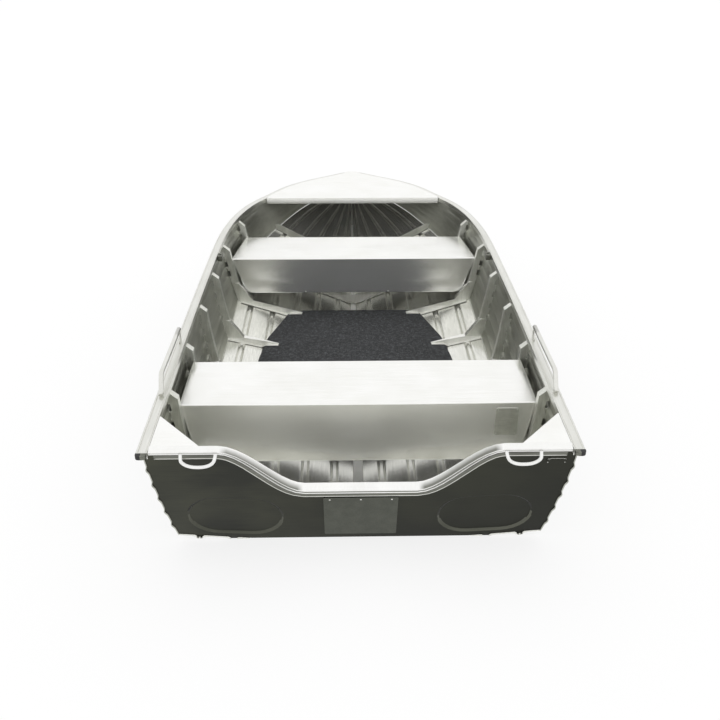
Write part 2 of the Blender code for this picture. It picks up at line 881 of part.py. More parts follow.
def gunwaleProfile(side):
    """Flat-topped section: rounded outer edge, thin lip hanging at the inner edge."""
    half = GUNWALE_WIDTH / 2.0
    tall = GUNWALE_HEIGHT / 2.0
    lipX = -half + GUNWALE_LIP_SHEET
    outline = [
        (half - GUNWALE_EDGE, tall),
        (half, tall - GUNWALE_EDGE),
        (half, -tall + GUNWALE_EDGE),
        (half - GUNWALE_EDGE, -tall),
        (lipX, -tall),
        (lipX, -tall - GUNWALE_LIP),
        (-half, -tall - GUNWALE_LIP),
        (-half, tall),
    ]
    return [(x * side, z) for x, z in outline]


def gunwale(label, side):
    path = gunwalePath()
    path = path if side > 0 else mirrored(path)
    mesh = curveToMesh("gunwale" + label, sweptCurve("gunwale" + label, path, gunwaleProfile(side)))
    part = addPart("gunwale" + label, mesh, "brightAluminium")
    smoothByAngle(part, 30.0)


def gunwaleCap(label, side):
    name = "gunwaleCap" + label
    end = gunwalePath()[0]
    half = GUNWALE_WIDTH / 2.0 - CAP_INSET
    rounded = bluntOutline(half, -CAP_LENGTH, CAP_RADIUS, CAP_RADIUS, 4)
    outline = [(half, 0.0)] + [place for place in rounded if place[0] > 0.0 > place[1]][::-1]
    outline += [place for place in rounded if place[0] < 0.0 > place[1]][::-1] + [(-half, 0.0)]
    mesh = curveToMesh(name, outlineCurve(name, outline, GUNWALE_HEIGHT))
    place = (end.x * side, end.y - GAP, end.z)
    part = addPart(name, mesh, "blackPlastic", (0.0, 0.0, 0.0), place)
    roundEdges(part, CAP_ROUND, 2, 60.0)


for label, side in SIDES:
    gunwale(label, side)
    gunwaleCap(label, side)


# ---------- corner gussets ----------

def gunwaleInner(y):
    return lineAt(2, y).x - GUNWALE_WIDTH / 2.0 - 2.0 * GAP


def cornerGusset(label, side):
    name = "cornerGusset" + label
    start = (RAIL_WIDTH / 2.0 + RAIL_SET_BACK) / math.cos(TRANSOM_RAKE) + GAP
    start += planeY(TRANSOM_TOP - GUSSET_SHEET)
    end = start + GUSSET_ALONG_GUNWALE
    tip = gunwaleInner(start) - GUSSET_ALONG_RAIL
    outline = [
        (gunwaleInner(start), start),
        (gunwaleInner(end), end),
        (gunwaleInner(end) - GUSSET_BLUNT, end),
        (tip, start + GUSSET_BLUNT),
        (tip, start),
    ]
    outline = [(x * side, y) for x, y in outline]
    mesh = curveToMesh(name, outlineCurve(name, outline, GUSSET_SHEET))
    height = TRANSOM_TOP - GUSSET_SHEET / 2.0
    addPart(name, mesh, "brightAluminium", (0.0, 0.0, 0.0), (0.0, 0.0, height))


for label, side in SIDES:
    cornerGusset(label, side)


# ---------- floor frames and side ribs ----------

ribStations = [RIB_FIRST + RIB_PITCH * index for index in range(RIB_COUNT + 1)]
matOutline = [(wide, RIB_FIRST + RIB_PITCH * pitches) for wide, pitches in MAT_STATIONS]


def matUnder():
    """Height of the mat's flat underside: it rests on the highest part of the floor along its edge."""
    highest = 0.0
    for (wideA, aft), (wideB, forward) in zip(matOutline, matOutline[1:]):
        for step in range(13):
            share = step / 12
            wide = wideA + (wideB - wideA) * share
            highest = max(highest, floorZ(wide, aft + (forward - aft) * share))
    return highest + MAT_CLEAR


def matHalf(y):
    for (wideA, aft), (wideB, forward) in zip(matOutline, matOutline[1:]):
        if aft <= y <= forward:
            return wideA + (wideB - wideA) * (y - aft) / (forward - aft)
    return 0.0


def webStation(station):
    """Forward face of a frame's web, the only part of it that reaches the hull."""
    return station - RIB_WIDTH / 2.0 + RIB_SHEET


def hullClear(y):
    """Depth of a frame's edge inside the hull's outer face; the hull twists more towards the bow."""
    return SHEET + FRAME_CLEAR + max(0.0, y - TWIST_START) * TWIST_CLEAR


def frameLines(station):
    """Inner faces of the bottom and the side where the frame's web meets them."""
    y = webStation(station)
    keel = lineAt(0, y)
    chine = lineAt(1, y)
    slope = (chine.z - keel.z) / chine.x
    clear = hullClear(y)

    def bottom(x, lift=0.0):
        return keel.z + slope * x + (clear + lift) * math.hypot(1.0, slope)

    def wall(z, depth=0.0):
        return sideX(z, y, clear + depth)

    return bottom, wall


def cornerOf(bottom, wall, reach):
    """Where the bottom line and the side line cross, both moved outward by reach."""
    z = bottom(wall(0.0, -reach), -reach)
    for step in range(12):
        z = bottom(wall(z, -reach), -reach)
    return wall(z, -reach), z


def hasKnee(index):
    """The foremost frame, ahead of the ribs, has none."""
    return index < RIB_COUNT


def kneeHeight(index):
    """Height of the knee's top, where the side rib starts."""
    bottom, wall = frameLines(ribStations[index])
    return cornerOf(bottom, wall, 0.0)[1] + KNEE_RISE


def narrowing(station, z):
    """How much nearer the side sheet is at a flange's forward edge than at its web."""
    wall = frameLines(station)[1]
    forward = station + RIB_WIDTH / 2.0
    return max(0.0, wall(z) - sideX(z, forward, hullClear(forward)))


def kneeLine(index, thick, reach):
    """Upper line of a frame from the hull's side to where its level flange starts."""
    bottom, wall = frameLines(ribStations[index])
    cornerX, cornerZ = cornerOf(bottom, wall, 0.0)
    if not hasKnee(index):
        high = cornerZ + FORE_FRAME_HEIGHT
        end = wall(high) - narrowing(ribStations[index], high)
        if thick > 0.0:
            return [(wall(high, -reach), high - thick), (end, high - thick)]
        step = high - 2.0 * RIB_SHEET
        return [(wall(step), step), (end, step), (end, high)]
    high = kneeHeight(index)
    end = cornerX - KNEE_RUN
    return [
        (wall(high, -reach), high + reach),
        (wall(high, RIB_DEPTH - thick), high + reach),
        (wall(high - KNEE_LEDGE, RIB_DEPTH - thick), high - KNEE_LEDGE),
        (end, bottom(end, FRAME_HEIGHT - thick)),
    ]


def frameOutline(index, thick=0.0, reach=0.0):
    """Outline in X and Z of a starboard floor frame and its knee, down to its inboard end.

    thick moves its inner edge outward and reach its hull edge past the hull, for the pocket."""
    station = ribStations[index]
    bottom, wall = frameLines(station)
    tip = FRAME_TIPS[index]
    outline = [cornerOf(bottom, wall, reach)] + kneeLine(index, thick, reach)
    if tip == 0.0:
        notch = KEELSON_WIDTH / 2.0 + KEELSON_NOTCH
        low = keelsonTop(station) - reach
        upper = outline + [(0.0, bottom(0.0, FRAME_CENTRE_HEIGHT - thick))]
        lower = [(notch, low), (notch, bottom(notch, -reach))]
        upper += [(-x, z) for x, z in reversed(outline)]
        return upper + [(-x, z) for x, z in reversed(lower)] + lower
    onMat = matUnder() + MAT_THICK + 2.0 * GAP
    high = bottom(tip, FRAME_HEIGHT)
    if station < matOutline[0][1]:
        low = high - FRAME_TIP_HEIGHT
        toe = (tip + FRAME_TAPER, bottom(tip + FRAME_TAPER, -reach))
        return outline + [(tip - reach, high - thick), (tip - reach, low - reach), toe]
    high = max(high, onMat + FRAME_TIP_HEIGHT)
    edge = matHalf(station - RIB_WIDTH / 2.0) + MAT_EDGE_GAP
    step = max(onMat, bottom(edge) + GAP) - reach
    outline += [(tip - reach, high - thick), (tip - reach, onMat - reach), (edge, step)]
    return outline + [(edge, bottom(edge, -reach))]


def keelsonTop(station):
    """Clear height over the keelson under a frame."""
    y = webStation(station)
    keel = lineAt(0, y)
    chine = lineAt(1, y)
    slope = (chine.z - keel.z) / chine.x
    lift = (KEELSON_WIDTH / 2.0 * slope + SHEET) * math.hypot(1.0, slope)
    return keel.z + lift + KEELSON_THICK + KEELSON_TOP_CLEAR


def booleanCut(part, cutter, name):
    cut = part.modifiers.new(name, "BOOLEAN")
    cut.operation = "DIFFERENCE"
    cut.solver = "EXACT"
    cut.object = cutter


def addCutter(name, mesh, location, rotation=(0.0, 0.0, 0.0)):
    cutter = bpy.data.objects.new(name, mesh)
    cutters.objects.link(cutter)
    cutter.rotation_euler = rotation
    cutter.location = location
    cutter.parent = datum
    cutter.hide_render = True
    cutter.display_type = "WIRE"
    return cutter


def acrossMember(name, outline, pocketOutline, station, side):
    """A channel-like member that stands across the boat at a station.

    A pocket from its forward face leaves a web, and a flange along its inner edge."""
    upright = (math.pi / 2.0, 0.0, 0.0)
    placed = [(x * side, z) for x, z in outline]
    mesh = curveToMesh(name, outlineCurve(name, placed, RIB_WIDTH))
    part = addPart(name, mesh, "brightAluminium", upright, (0.0, station, 0.0))
    inner = [(x * side, z) for x, z in pocketOutline]
    pocketMesh = curveToMesh(name + "Pocket", outlineCurve(name + "Pocket", inner, RIB_WIDTH))
    pocket = addCutter(name + "Pocket", pocketMesh, (0.0, station + RIB_SHEET, 0.0), upright)
    booleanCut(part, pocket, "pocket")


def floorFrame(index):
    name = "floorFrame%d" % (index + 1)
    outline = frameOutline(index)
    pocket = frameOutline(index, RIB_SHEET, POCKET_REACH)
    if FRAME_TIPS[index] == 0.0:
        acrossMember(name, outline, pocket, ribStations[index], 1.0)
        return
    for label, side in SIDES:
        acrossMember(name + label, outline, pocket, ribStations[index], side)


def ribOutline(index, thick=0.0, reach=0.0):
    """Outline in X and Z of a starboard side rib, which follows the side sheet's curve."""
    station = ribStations[index]
    wall = frameLines(station)[1]
    top = lineAt(2, station).z - GUNWALE_HEIGHT - GUNWALE_LIP - 2.0 * GAP
    shoulder = top - RIB_TOP_CUT
    low = kneeHeight(index) + GAP
    tip = RIB_TIP_DEPTH + narrowing(station, top)
    hullEdge = []
    innerEdge = []
    for step in range(RIB_STEPS + 1):
        share = step / RIB_STEPS
        z = low + (top - low) * share
        hullEdge.append((wall(z, -reach), z))
        z = shoulder + (low - shoulder) * share
        innerEdge.append((wall(z, RIB_DEPTH - thick), z))
    outline = hullEdge + [(wall(top, tip - thick), top - thick)] + innerEdge
    if reach > 0.0:
        outline[0] = (outline[0][0], low - reach)
        outline[-1] = (outline[-1][0], low - reach)
        outline.insert(RIB_STEPS + 1, (wall(top, -reach), top + reach))
        outline.insert(RIB_STEPS + 2, (wall(top, tip - thick), top + reach))
    return outline


def sideRib(index):
    outline = ribOutline(index)
    pocket = ribOutline(index, RIB_SHEET, POCKET_REACH)
    for label, side in SIDES:
        acrossMember("sideRib%d%s" % (index + 1, label), outline, pocket, ribStations[index], side)


for index in range(RIB_COUNT + 1):
    floorFrame(index)
for index in range(RIB_COUNT):
    sideRib(index)


# ---------- seats ----------

def seatLowHalf(low, y):
    """Half-breadth of a seat's underside, clear of the side sheet and of the bottom's slope."""
    floor = floorZ(0.0, y)
    slope = floorZ(1.0, y) - floor
    return min(sideX(low, y, SHEET) - SEAT_LOW_GAP, (low - SEAT_FLOOR_GAP - floor) / slope)


def seatSection(drop, y):
    """Box section across the boat: level top, sloping ends, rounded lower corners."""
    low = SEAT_TOP - drop
    half = sideX(SEAT_TOP, y, SHEET) - SEAT_END_GAP
    corner = Vector((seatLowHalf(low, y) + SEAT_CORNER * SEAT_CORNER_SHARE, 0.0, low))
    upper = Vector((half, 0.0, SEAT_TOP))
    inner = Vector((0.0, 0.0, low))
    side = roundedPath([upper, corner, inner], SEAT_CORNER, 4)[:-1]
    outline = [Vector((place.x, y, place.z)) for place in side]
    return outline + mirrored(reversed(outline))


def boxSeat(name, firstRib, drop):
    start = ribStations[firstRib] + RIB_WIDTH / 2.0 + GAP
    end = ribStations[firstRib + 1] - RIB_WIDTH / 2.0 - GAP
    rows = [seatSection(drop, start), seatSection(drop, end)]
    part = addPart(name, gridMesh(name, rows, True), "brightAluminium")
    roundEdges(part, SEAT_EDGE_RADIUS, 2, 50.0)
    smoothByAngle(part, 30.0)


boxSeat("aftSeat", 0, SEAT_DROP_AFT)
boxSeat("forwardSeat", 4, SEAT_DROP_FORWARD)


def capacityPlate():
    outline = bluntOutline(PLATE_WIDTH / 2.0, -PLATE_HEIGHT / 2.0, PLATE_HEIGHT / 2.0, PLATE_RADIUS)
    mesh = curveToMesh("capacityPlate", outlineCurve("capacityPlate", outline, PLATE_THICK))
    face = ribStations[0] + RIB_WIDTH / 2.0 + GAP
    place = (PLATE_X, face - GAP - PLATE_THICK / 2.0, PLATE_Z)
    addPart("capacityPlate", mesh, "hullAluminium", (math.pi / 2.0, 0.0, 0.0), place)


capacityPlate()


# ---------- foredeck ----------

def deckHalf(y):
    """Half-breadth of the deck sheet: it laps on to the gunwale's flat top."""
    step = DECK_NOSE_STATION - DECK_STOPS[-1]
    outward = GUNWALE_WIDTH / 2.0 - DECK_LAP
    ahead = lineAt(2, y + step)
    behind = lineAt(2, y - step)
    lean = math.hypot(1.0, (ahead.x - behind.x) / (ahead.y - behind.y))
    return lineAt(2, y).x - outward * lean


def deckZ(y):
    aft = lineAt(2, DECK_AFT_STATION)
    fore = hullSections[-1][2]
    share = (y - aft.y) / (fore.y - aft.y)
    return aft.z + (fore.z - aft.z) * share + DECK_CLEAR


def foredeck():
    nose = hullSections[-1][2].y
    aftHalf = deckHalf(DECK_AFT_STATION) - DECK_CORNER
    stops = [(DECK_AFT_STATION, aftHalf - DECK_LIP_TAPER, DECK_LIP), (DECK_AFT_STATION, aftHalf, 0.0)]
    stops += [(y, deckHalf(y), 0.0) for y in DECK_STOPS]
    stops.append((DECK_NOSE_STATION, (deckHalf(DECK_STOPS[-1]) + DECK_NOSE_HALF) / 2.0, 0.0))
    stops.append((nose + DECK_NOSE_LAP, DECK_NOSE_HALF, 0.0))
    rows = []
    for y, half, drop in stops:
        z = deckZ(y) - drop
        across = [2.0 * column / DECK_COLUMNS - 1.0 for column in range(DECK_COLUMNS + 1)]
        rows.append([Vector((half * share, y, z)) for share in across])
    part = addPart("foredeck", gridMesh("foredeck", rows), "brightAluminium")
    thicken(part, SHEET, 1.0)
    smoothByAngle(part, 30.0)


foredeck()


# ---------- floor mat ----------

def floorMat():
    outline = matOutline + [(-x, y) for x, y in reversed(matOutline)]
    mesh = curveToMesh("floorMat", outlineCurve("floorMat", outline, MAT_THICK))
    addPart("floorMat", mesh, "charcoalCarpet", (0.0, 0.0, 0.0), (0.0, 0.0, matUnder() + MAT_THICK / 2.0))


floorMat()


# ---------- side grab handles and rowlocks ----------

def gunwaleTop(y):
    return lineAt(2, y).z + GAP


def grabPost(name, place, high, side):
    """Upright plate that joins the handle's forward end to the gunwale."""
    low = gunwaleTop(GRAB_FORE_END)
    aftFoot, foreFoot = [GRAB_FORE_END + along for along in GRAB_POST_FOOT]
    aftHead, foreHead = [GRAB_FORE_END + along for along in GRAB_POST_HEAD]
    outline = [(aftFoot, low), (foreFoot, low), (foreHead, high), (aftHead, high)]
    mesh = curveToMesh(name, outlineCurve(name, outline, GRAB_POST_SHEET))
    return addCutter(name, mesh, (place * side, 0.0, 0.0), (math.pi / 2.0, 0.0, math.pi / 2.0))


def grabHandle(label, side):
    name = "grabHandle" + label
    footX = lineAt(2, GRAB_AFT_FOOT).x - GRAB_FOOT_INSET
    footZ = gunwaleTop(GRAB_AFT_FOOT)
    railX = lineAt(2, GRAB_AFT_BEND).x + GRAB_OUTSET
    high = gunwaleTop(GRAB_AFT_BEND) + GRAB_RISE
    corners = [
        (footX * side, GRAB_AFT_FOOT, footZ + GRAB_FOOT_LIFT),
        (railX * side, GRAB_AFT_BEND, high),
        (railX * side, GRAB_FORE_END, high + GRAB_FORE_LIFT),
    ]
    path = roundedPath(corners, GRAB_BEND, 5)
    part = addPart(name, curveToMesh(name, tubeCurve(name, path, GRAB_TUBE, 3)), "brightAluminium")
    join = part.modifiers.new("post", "BOOLEAN")
    join.operation = "UNION"
    join.solver = "EXACT"
    join.object = grabPost(name + "Post", railX - GRAB_POST_INSET, high, side)
    trim = bpy.data.meshes.new(name + "Trim")
    block = bmesh.new()
    bmesh.ops.create_cube(block, size=GRAB_TRIM)
    block.to_mesh(trim)
    block.free()
    place = (footX * side, GRAB_AFT_FOOT, footZ - GRAB_TRIM / 2.0)
    booleanCut(part, addCutter(name + "Trim", trim, place), "foot")
    smoothByAngle(part, 40.0)


def rowlock(label, side):
    name = "rowlockSeat" + label
    inner = lineAt(2, ROWLOCK_STATION).x - GUNWALE_WIDTH / 2.0 - 2.0 * GAP
    mesh = bpy.data.meshes.new(name)
    block = bmesh.new()
    bmesh.ops.create_cube(block, size=1.0)
    size = (ROWLOCK_BREADTH, ROWLOCK_LENGTH, ROWLOCK_HEIGHT)
    bmesh.ops.scale(block, vec=size, verts=block.verts)
    block.to_mesh(mesh)
    block.free()
    top = lineAt(2, ROWLOCK_STATION).z - GAP
    place = ((inner - ROWLOCK_BREADTH / 2.0) * side, ROWLOCK_STATION, top - ROWLOCK_HEIGHT / 2.0)
    part = addPart(name, mesh, "hullAluminium", (0.0, 0.0, 0.0), place)
    socket = bpy.data.meshes.new(name + "Socket")
    drill = bmesh.new()
    bmesh.ops.create_cone(
        drill, cap_ends=True, segments=16, radius1=ROWLOCK_BORE, radius2=ROWLOCK_BORE,
        depth=2.0 * ROWLOCK_HEIGHT,
    )
    drill.to_mesh(socket)
    drill.free()
    booleanCut(part, addCutter(name + "Socket", socket, place), "socket")
    roundEdges(part, ROWLOCK_ROUND, 2, 60.0)


for label, side in SIDES:
    grabHandle(label, side)
    rowlock(label, side)


# ---------- bow eye ----------

def bowEye():
    """U-shaped rod that stands out of the stem bar."""
    for start, end in zip(hullSections, hullSections[1:]):
        if start[0].z <= EYE_Z <= end[0].z:
            share = (EYE_Z - start[0].z) / (end[0].z - start[0].z)
            base = start[0].lerp(end[0], share)
            along = (end[0] - start[0]).normalized()
            break
    outward = Vector((0.0, along.z, -along.y))
    face = base + outward * (keelDepth(base.y) + 4.0 * GAP)
    half = along * (EYE_WIDTH / 2.0)
    corners = [face - half, face - half + outward * EYE_REACH, face + half + outward * EYE_REACH, face + half]
    path = roundedPath(corners, EYE_BEND, 5)
    addPart("bowEye", tubeCurve("bowEye", path, EYE_ROD, 2), "brightAluminium")


bowEye()
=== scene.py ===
import math

import bmesh
import bpy
from mathutils import Matrix, Vector
from mathutils.bvhtree import BVHTree


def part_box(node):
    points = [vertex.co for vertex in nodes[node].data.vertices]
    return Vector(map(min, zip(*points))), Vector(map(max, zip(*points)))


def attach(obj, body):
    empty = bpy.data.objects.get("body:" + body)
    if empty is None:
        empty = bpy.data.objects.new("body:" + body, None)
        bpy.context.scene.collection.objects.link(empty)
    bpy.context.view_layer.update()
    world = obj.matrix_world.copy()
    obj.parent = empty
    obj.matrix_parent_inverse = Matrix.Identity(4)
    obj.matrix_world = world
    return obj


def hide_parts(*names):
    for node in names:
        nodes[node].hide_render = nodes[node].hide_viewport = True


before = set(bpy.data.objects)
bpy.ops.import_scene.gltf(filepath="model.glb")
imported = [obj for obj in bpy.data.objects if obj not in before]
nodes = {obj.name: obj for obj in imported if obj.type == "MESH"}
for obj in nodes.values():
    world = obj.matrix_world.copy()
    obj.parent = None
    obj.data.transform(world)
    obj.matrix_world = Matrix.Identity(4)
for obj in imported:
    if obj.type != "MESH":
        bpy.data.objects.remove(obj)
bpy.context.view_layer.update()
scene = bpy.context.scene
print("frame loaded:", len(nodes), "nodes")

mm = 0.001
starboard = Vector((1.0, 0.0, 0.0))
ahead = Vector((0.0, 1.0, 0.0))
upward = Vector((0.0, 0.0, 1.0))
sides = (("Port", -1.0), ("Starboard", 1.0))
clear = 100.0 * mm  # how far outside a piece a ray starts

camera = {
    "place": (-0.0486, -3.5211, 1.9385),
    "yaw": 1.2146,
    "pitch": 29.172,
    "roll": -0.165,
    "lens": 38.98,
    "sensor": 36.0,
    "near": 0.05,
    "far": 120.0,
}


def makeCamera():
    data = bpy.data.cameras.new("camera")
    data.lens = camera["lens"]
    data.sensor_width = camera["sensor"]
    data.clip_start = camera["near"]
    data.clip_end = camera["far"]
    cam = bpy.data.objects.new("camera", data)
    scene.collection.objects.link(cam)
    yaw = math.radians(camera["yaw"])
    pitch = math.radians(camera["pitch"])
    roll = math.radians(camera["roll"])
    forward = Vector((
        math.sin(yaw) * math.cos(pitch), math.cos(yaw) * math.cos(pitch), -math.sin(pitch),
    ))
    right = Vector((math.cos(yaw), -math.sin(yaw), 0.0))
    down = forward.cross(right)
    across = right * math.cos(roll) + down * math.sin(roll)
    below = down * math.cos(roll) - right * math.sin(roll)
    turn = Matrix((across, -below, -forward)).transposed()
    cam.matrix_world = Matrix.Translation(camera["place"]) @ turn.to_4x4()
    scene.camera = cam


makeCamera()
print("camera placed")

toneSpan = (0.36, 0.64)  # noise values drawn as the darkest and the lightest tone


def linear(hexColour):
    parts = [int(hexColour[i : i + 2], 16) / 255.0 for i in (0, 2, 4)]
    return [c / 12.92 if c <= 0.04045 else ((c + 0.055) / 1.055) ** 2.4 for c in parts] + [1.0]


def addNode(tree, kind, settings=None, links=None):
    node = tree.nodes.new(kind)
    for key, value in (settings or {}).items():
        if isinstance(key, int) or key in node.inputs:
            node.inputs[key].default_value = value
        else:
            setattr(node, key, value)
    for key, source in (links or {}).items():
        tree.links.new(source, node.inputs[key])
    return node


def startMaterial(name, metallic, roughness):
    material = bpy.data.materials.new(name)
    material.use_nodes = True
    tree = material.node_tree
    shader = tree.nodes["Principled BSDF"]
    shader.inputs["Metallic"].default_value = metallic
    shader.inputs["Roughness"].default_value = roughness
    place = addNode(tree, "ShaderNodeTexCoord").outputs["Object"]
    return material, tree, shader, place


def paint(tree, shader, look, tones, tone, height):
    # picks the colour between the tones and raises the surface by the height
    ramp = addNode(tree, "ShaderNodeValToRGB", None, {"Fac": tone})
    for position, colour in tones[1:-1]:
        ramp.color_ramp.elements.new(position)
    for element, (position, colour) in zip(ramp.color_ramp.elements, tones):
        element.position = position
        element.color = linear(colour)
    tree.links.new(ramp.outputs["Color"], shader.inputs["Base Color"])
    bump = addNode(
        tree, "ShaderNodeBump",
        {"Strength": look["bump"], "Distance": look["bumpHeight"]}, {"Height": height},
    )
    tree.links.new(bump.outputs["Normal"], shader.inputs["Normal"])


sheetLook = {
    "metallic": 1.0, "roughRange": 0.04, "bump": 0.06, "bumpHeight": 0.4 * mm,
    "turn": (0.0, 0.0, 0.0), "stretch": (1.0, 1.0, 1.0), "lineSpacing": 4.0 * mm, "lineShare": 0.5,
    "cloudStretch": (1.0, 1.0, 1.0), "cloudSize": 60.0 * mm,
}


def sheetMetal(name, ownLook):
    # bare rolled sheet: soft cloudy patches, and fine lines left by the rolls or the brush
    look = {**sheetLook, **ownLook}
    material, tree, shader, place = startMaterial(name, look["metallic"], look["roughness"])
    turned = addNode(
        tree, "ShaderNodeMapping",
        {"Rotation": look["turn"], "Scale": look["stretch"]}, {"Vector": place},
    )
    lines = addNode(
        tree, "ShaderNodeTexNoise",
        {"Scale": 1.0 / look["lineSpacing"], "Detail": 3.0, "Roughness": 0.6},
        {"Vector": turned.outputs["Vector"]},
    )
    drawnOut = addNode(
        tree, "ShaderNodeMapping",
        {"Rotation": look["turn"], "Scale": look["cloudStretch"]}, {"Vector": place},
    )
    clouds = addNode(
        tree, "ShaderNodeTexNoise",
        {"Scale": 1.0 / look["cloudSize"], "Detail": 2.0, "Roughness": 0.5},
        {"Vector": drawnOut.outputs["Vector"]},
    )
    tone = addNode(
        tree, "ShaderNodeMix", {"data_type": "FLOAT", 0: look["lineShare"]},
        {2: clouds.outputs["Fac"], 3: lines.outputs["Fac"]},
    )
    tones = ((toneSpan[0], look["dark"]), (toneSpan[1], look["light"]))
    paint(tree, shader, look, tones, tone.outputs[0], lines.outputs["Fac"])
    least = look["roughness"] - look["roughRange"]
    most = look["roughness"] + look["roughRange"]
    rough = addNode(
        tree, "ShaderNodeMapRange", {"To Min": least, "To Max": most}, {"Value": tone.outputs[0]},
    )
    tree.links.new(rough.outputs["Result"], shader.inputs["Roughness"])
    if "brushed" in look:
        # brush lines run athwart and draw a reflection out
        shader.inputs["Anisotropic"].default_value = look["brushed"]
        athwart = addNode(tree, "ShaderNodeTangent", {"direction_type": "RADIAL", "axis": "Z"})
        tree.links.new(athwart.outputs["Tangent"], shader.inputs["Tangent"])
    return material


def shadeAlong(material, direction, start, end, colour, share=None):
    # paints shade into a material: turns its colour towards another along a direction, from none at start
    # to full at end
    tree = material.node_tree
    shader = tree.nodes["Principled BSDF"]
    own = shader.inputs["Base Color"].links[0].from_socket
    surface = addNode(tree, "ShaderNodeNewGeometry")
    along = addNode(
        tree, "ShaderNodeVectorMath", {"operation": "DOT_PRODUCT", 1: direction},
        {0: surface.outputs["Position"]},
    )
    reach = addNode(
        tree, "ShaderNodeMapRange",
        {"From Min": start, "From Max": end}, {"Value": along.outputs["Value"]},
    )
    amount = reach.outputs["Result"]
    if share is not None:
        both = addNode(tree, "ShaderNodeMath", {"operation": "MULTIPLY"}, {0: amount, 1: share})
        amount = both.outputs[0]
    mix = addNode(tree, "ShaderNodeMix", {"data_type": "RGBA", 7: linear(colour)}, {0: amount, 6: own})
    tree.links.new(mix.outputs[2], shader.inputs["Base Color"])


def moulded(name, look):
    # moulded or sprayed surface: one colour with a fine grain that breaks up its shine
    material, tree, shader, place = startMaterial(name, 0.0, look["roughness"])
    shader.inputs["IOR"].default_value = look["ior"]
    grain = addNode(
        tree, "ShaderNodeTexNoise", {"Scale": 1.0 / look["grain"], "Detail": 2.0}, {"Vector": place},
    )
    tones = ((0.0, look["dark"]), (1.0, look["light"]))
    paint(tree, shader, look, tones, grain.outputs["Fac"], grain.outputs["Fac"])
    return material


# Brushed 5052 sheet, folded into the deck and the corner plates.
# The brush runs athwart; real lines are near 0.5 mm apart and are drawn at 4 mm so that they show.
brushedLook = {
    "dark": "F7F7F3", "light": "FDFDFB", "roughness": 0.18, "roughRange": 0.02,
    "stretch": (0.03, 1.0, 1.0), "cloudSize": 160.0 * mm,
}
brushedSheet = sheetMetal("brushedAluminiumSheet", brushedLook)
# The same sheet on the two seats, scuffed in use so that part of the light scatters.
seatSheet = sheetMetal("scuffedSeatSheet", {
    **brushedLook, "dark": "F4F4F0", "light": "FCFCFA", "roughness": 0.19,
    "metallic": 0.88, "brushed": 0.80,
})
# Inside of the transom and its pad, sanded before welding: pale and half matt.
sandedInside = sheetMetal("sandedTransomInside", {
    "dark": "F0F0EA", "light": "FAFAF5", "roughness": 0.24, "metallic": 0.60,
    "cloudSize": 80.0 * mm, "bump": 0.08,
})
# Rolled 5083 hull side, greyer than the other sheet through painted shade, with soft slanting streaks.
shadedSideMetal = sheetMetal("paintedShadeAluminiumSide", {
    "dark": "B1B2A9", "light": "C7C8BF", "roughness": 0.38, "roughRange": 0.05,
    "turn": (0.5, 0.0, 0.0), "stretch": (1.0, 0.15, 1.0), "lineSpacing": 14.0 * mm, "lineShare": 0.3,
    "cloudSize": 120.0 * mm, "cloudStretch": (1.0, 0.35, 1.0), "bump": 0.10, "bumpHeight": 0.8 * mm,
})
# Pressed bottom sheet, brighter from the press and lightly brushed along the boat.
pressedBottom = sheetMetal("pressedAluminiumBottom", {
    "dark": "DCDCD5", "light": "F6F6F0", "roughness": 0.24, "metallic": 0.85,
    "stretch": (1.0, 0.04, 1.0), "lineSpacing": 5.0 * mm,
    "cloudSize": 140.0 * mm, "cloudStretch": (1.0, 0.5, 1.0), "bump": 0.08, "bumpHeight": 0.5 * mm,
})
# Side ribs: grey through painted shade like the sides, a little lighter than them along their faces.
ribLook = {
    "dark": "CFD0C8", "light": "EAEBE4", "roughness": 0.42,
    "stretch": (1.0, 1.0, 0.08), "lineSpacing": 5.0 * mm, "bump": 0.08,
}
shadedRibMetal = sheetMetal("paintedShadeAluminiumRib", ribLook)
# Floor frames and keelson: bright sheet scuffed dull by feet, so that it scatters the light.
foldedRib = sheetMetal("scuffedAluminiumFrame", {
    **ribLook, "dark": "EEEEE8", "light": "FCFCF8", "roughness": 0.50,
})
# Top flanges of the floor frames, polished by wear, so that they throw the sky back.
wornFlange = sheetMetal("polishedFrameFlange", {
    "dark": "F2F2EE", "light": "FDFDFB", "roughness": 0.24, "roughRange": 0.03,
    "stretch": (0.08, 1.0, 1.0), "lineSpacing": 5.0 * mm,
})
# Extruded 6061 gunwale and rail: straight die lines along the length, slightly greyer than sheet.
extrusionLook = {
    "dark": "DCDCD6", "light": "EAEAE5", "roughness": 0.31,
    "stretch": (1.0, 0.04, 1.0), "cloudSize": 90.0 * mm, "cloudStretch": (1.0, 0.4, 1.0),
}
extrusion = sheetMetal("extrudedAluminium", extrusionLook)
# Transom sheet: the same metal, made much darker by painted shade, with soft broad patches and faint lines
# athwart.
transomLook = {
    "dark": "343530", "light": "45463C", "roughness": 0.34, "roughRange": 0.05,
    "stretch": (0.05, 1.0, 1.0), "lineSpacing": 5.0 * mm, "lineShare": 0.25,
    "cloudSize": 260.0 * mm, "cloudStretch": (1.0, 1.0, 1.4),
}
shadedTransomMetal = sheetMetal("paintedShadeTransomSheet", transomLook)
# Painted shade: it darkens further towards the lower starboard corner.
transomShade = {"towards": (0.6, 0.0, -0.8), "from": -0.50, "to": 0.45, "colour": "20211C"}
shadeAlong(
    shadedTransomMetal, transomShade["towards"], transomShade["from"], transomShade["to"], transomShade["colour"],
)
# The ovals' upper wall gets painted shade and stays nearly black; the lower wall gets a lighter painted
# highlight.
shadedOvalWall = sheetMetal("paintedShadeOvalWall", {**transomLook, "dark": "181915", "light": "23241F"})
highlightedOvalWall = sheetMetal("paintedHighlightOvalWall", {**transomLook, "dark": "4C4D45", "light": "5E5F56"})
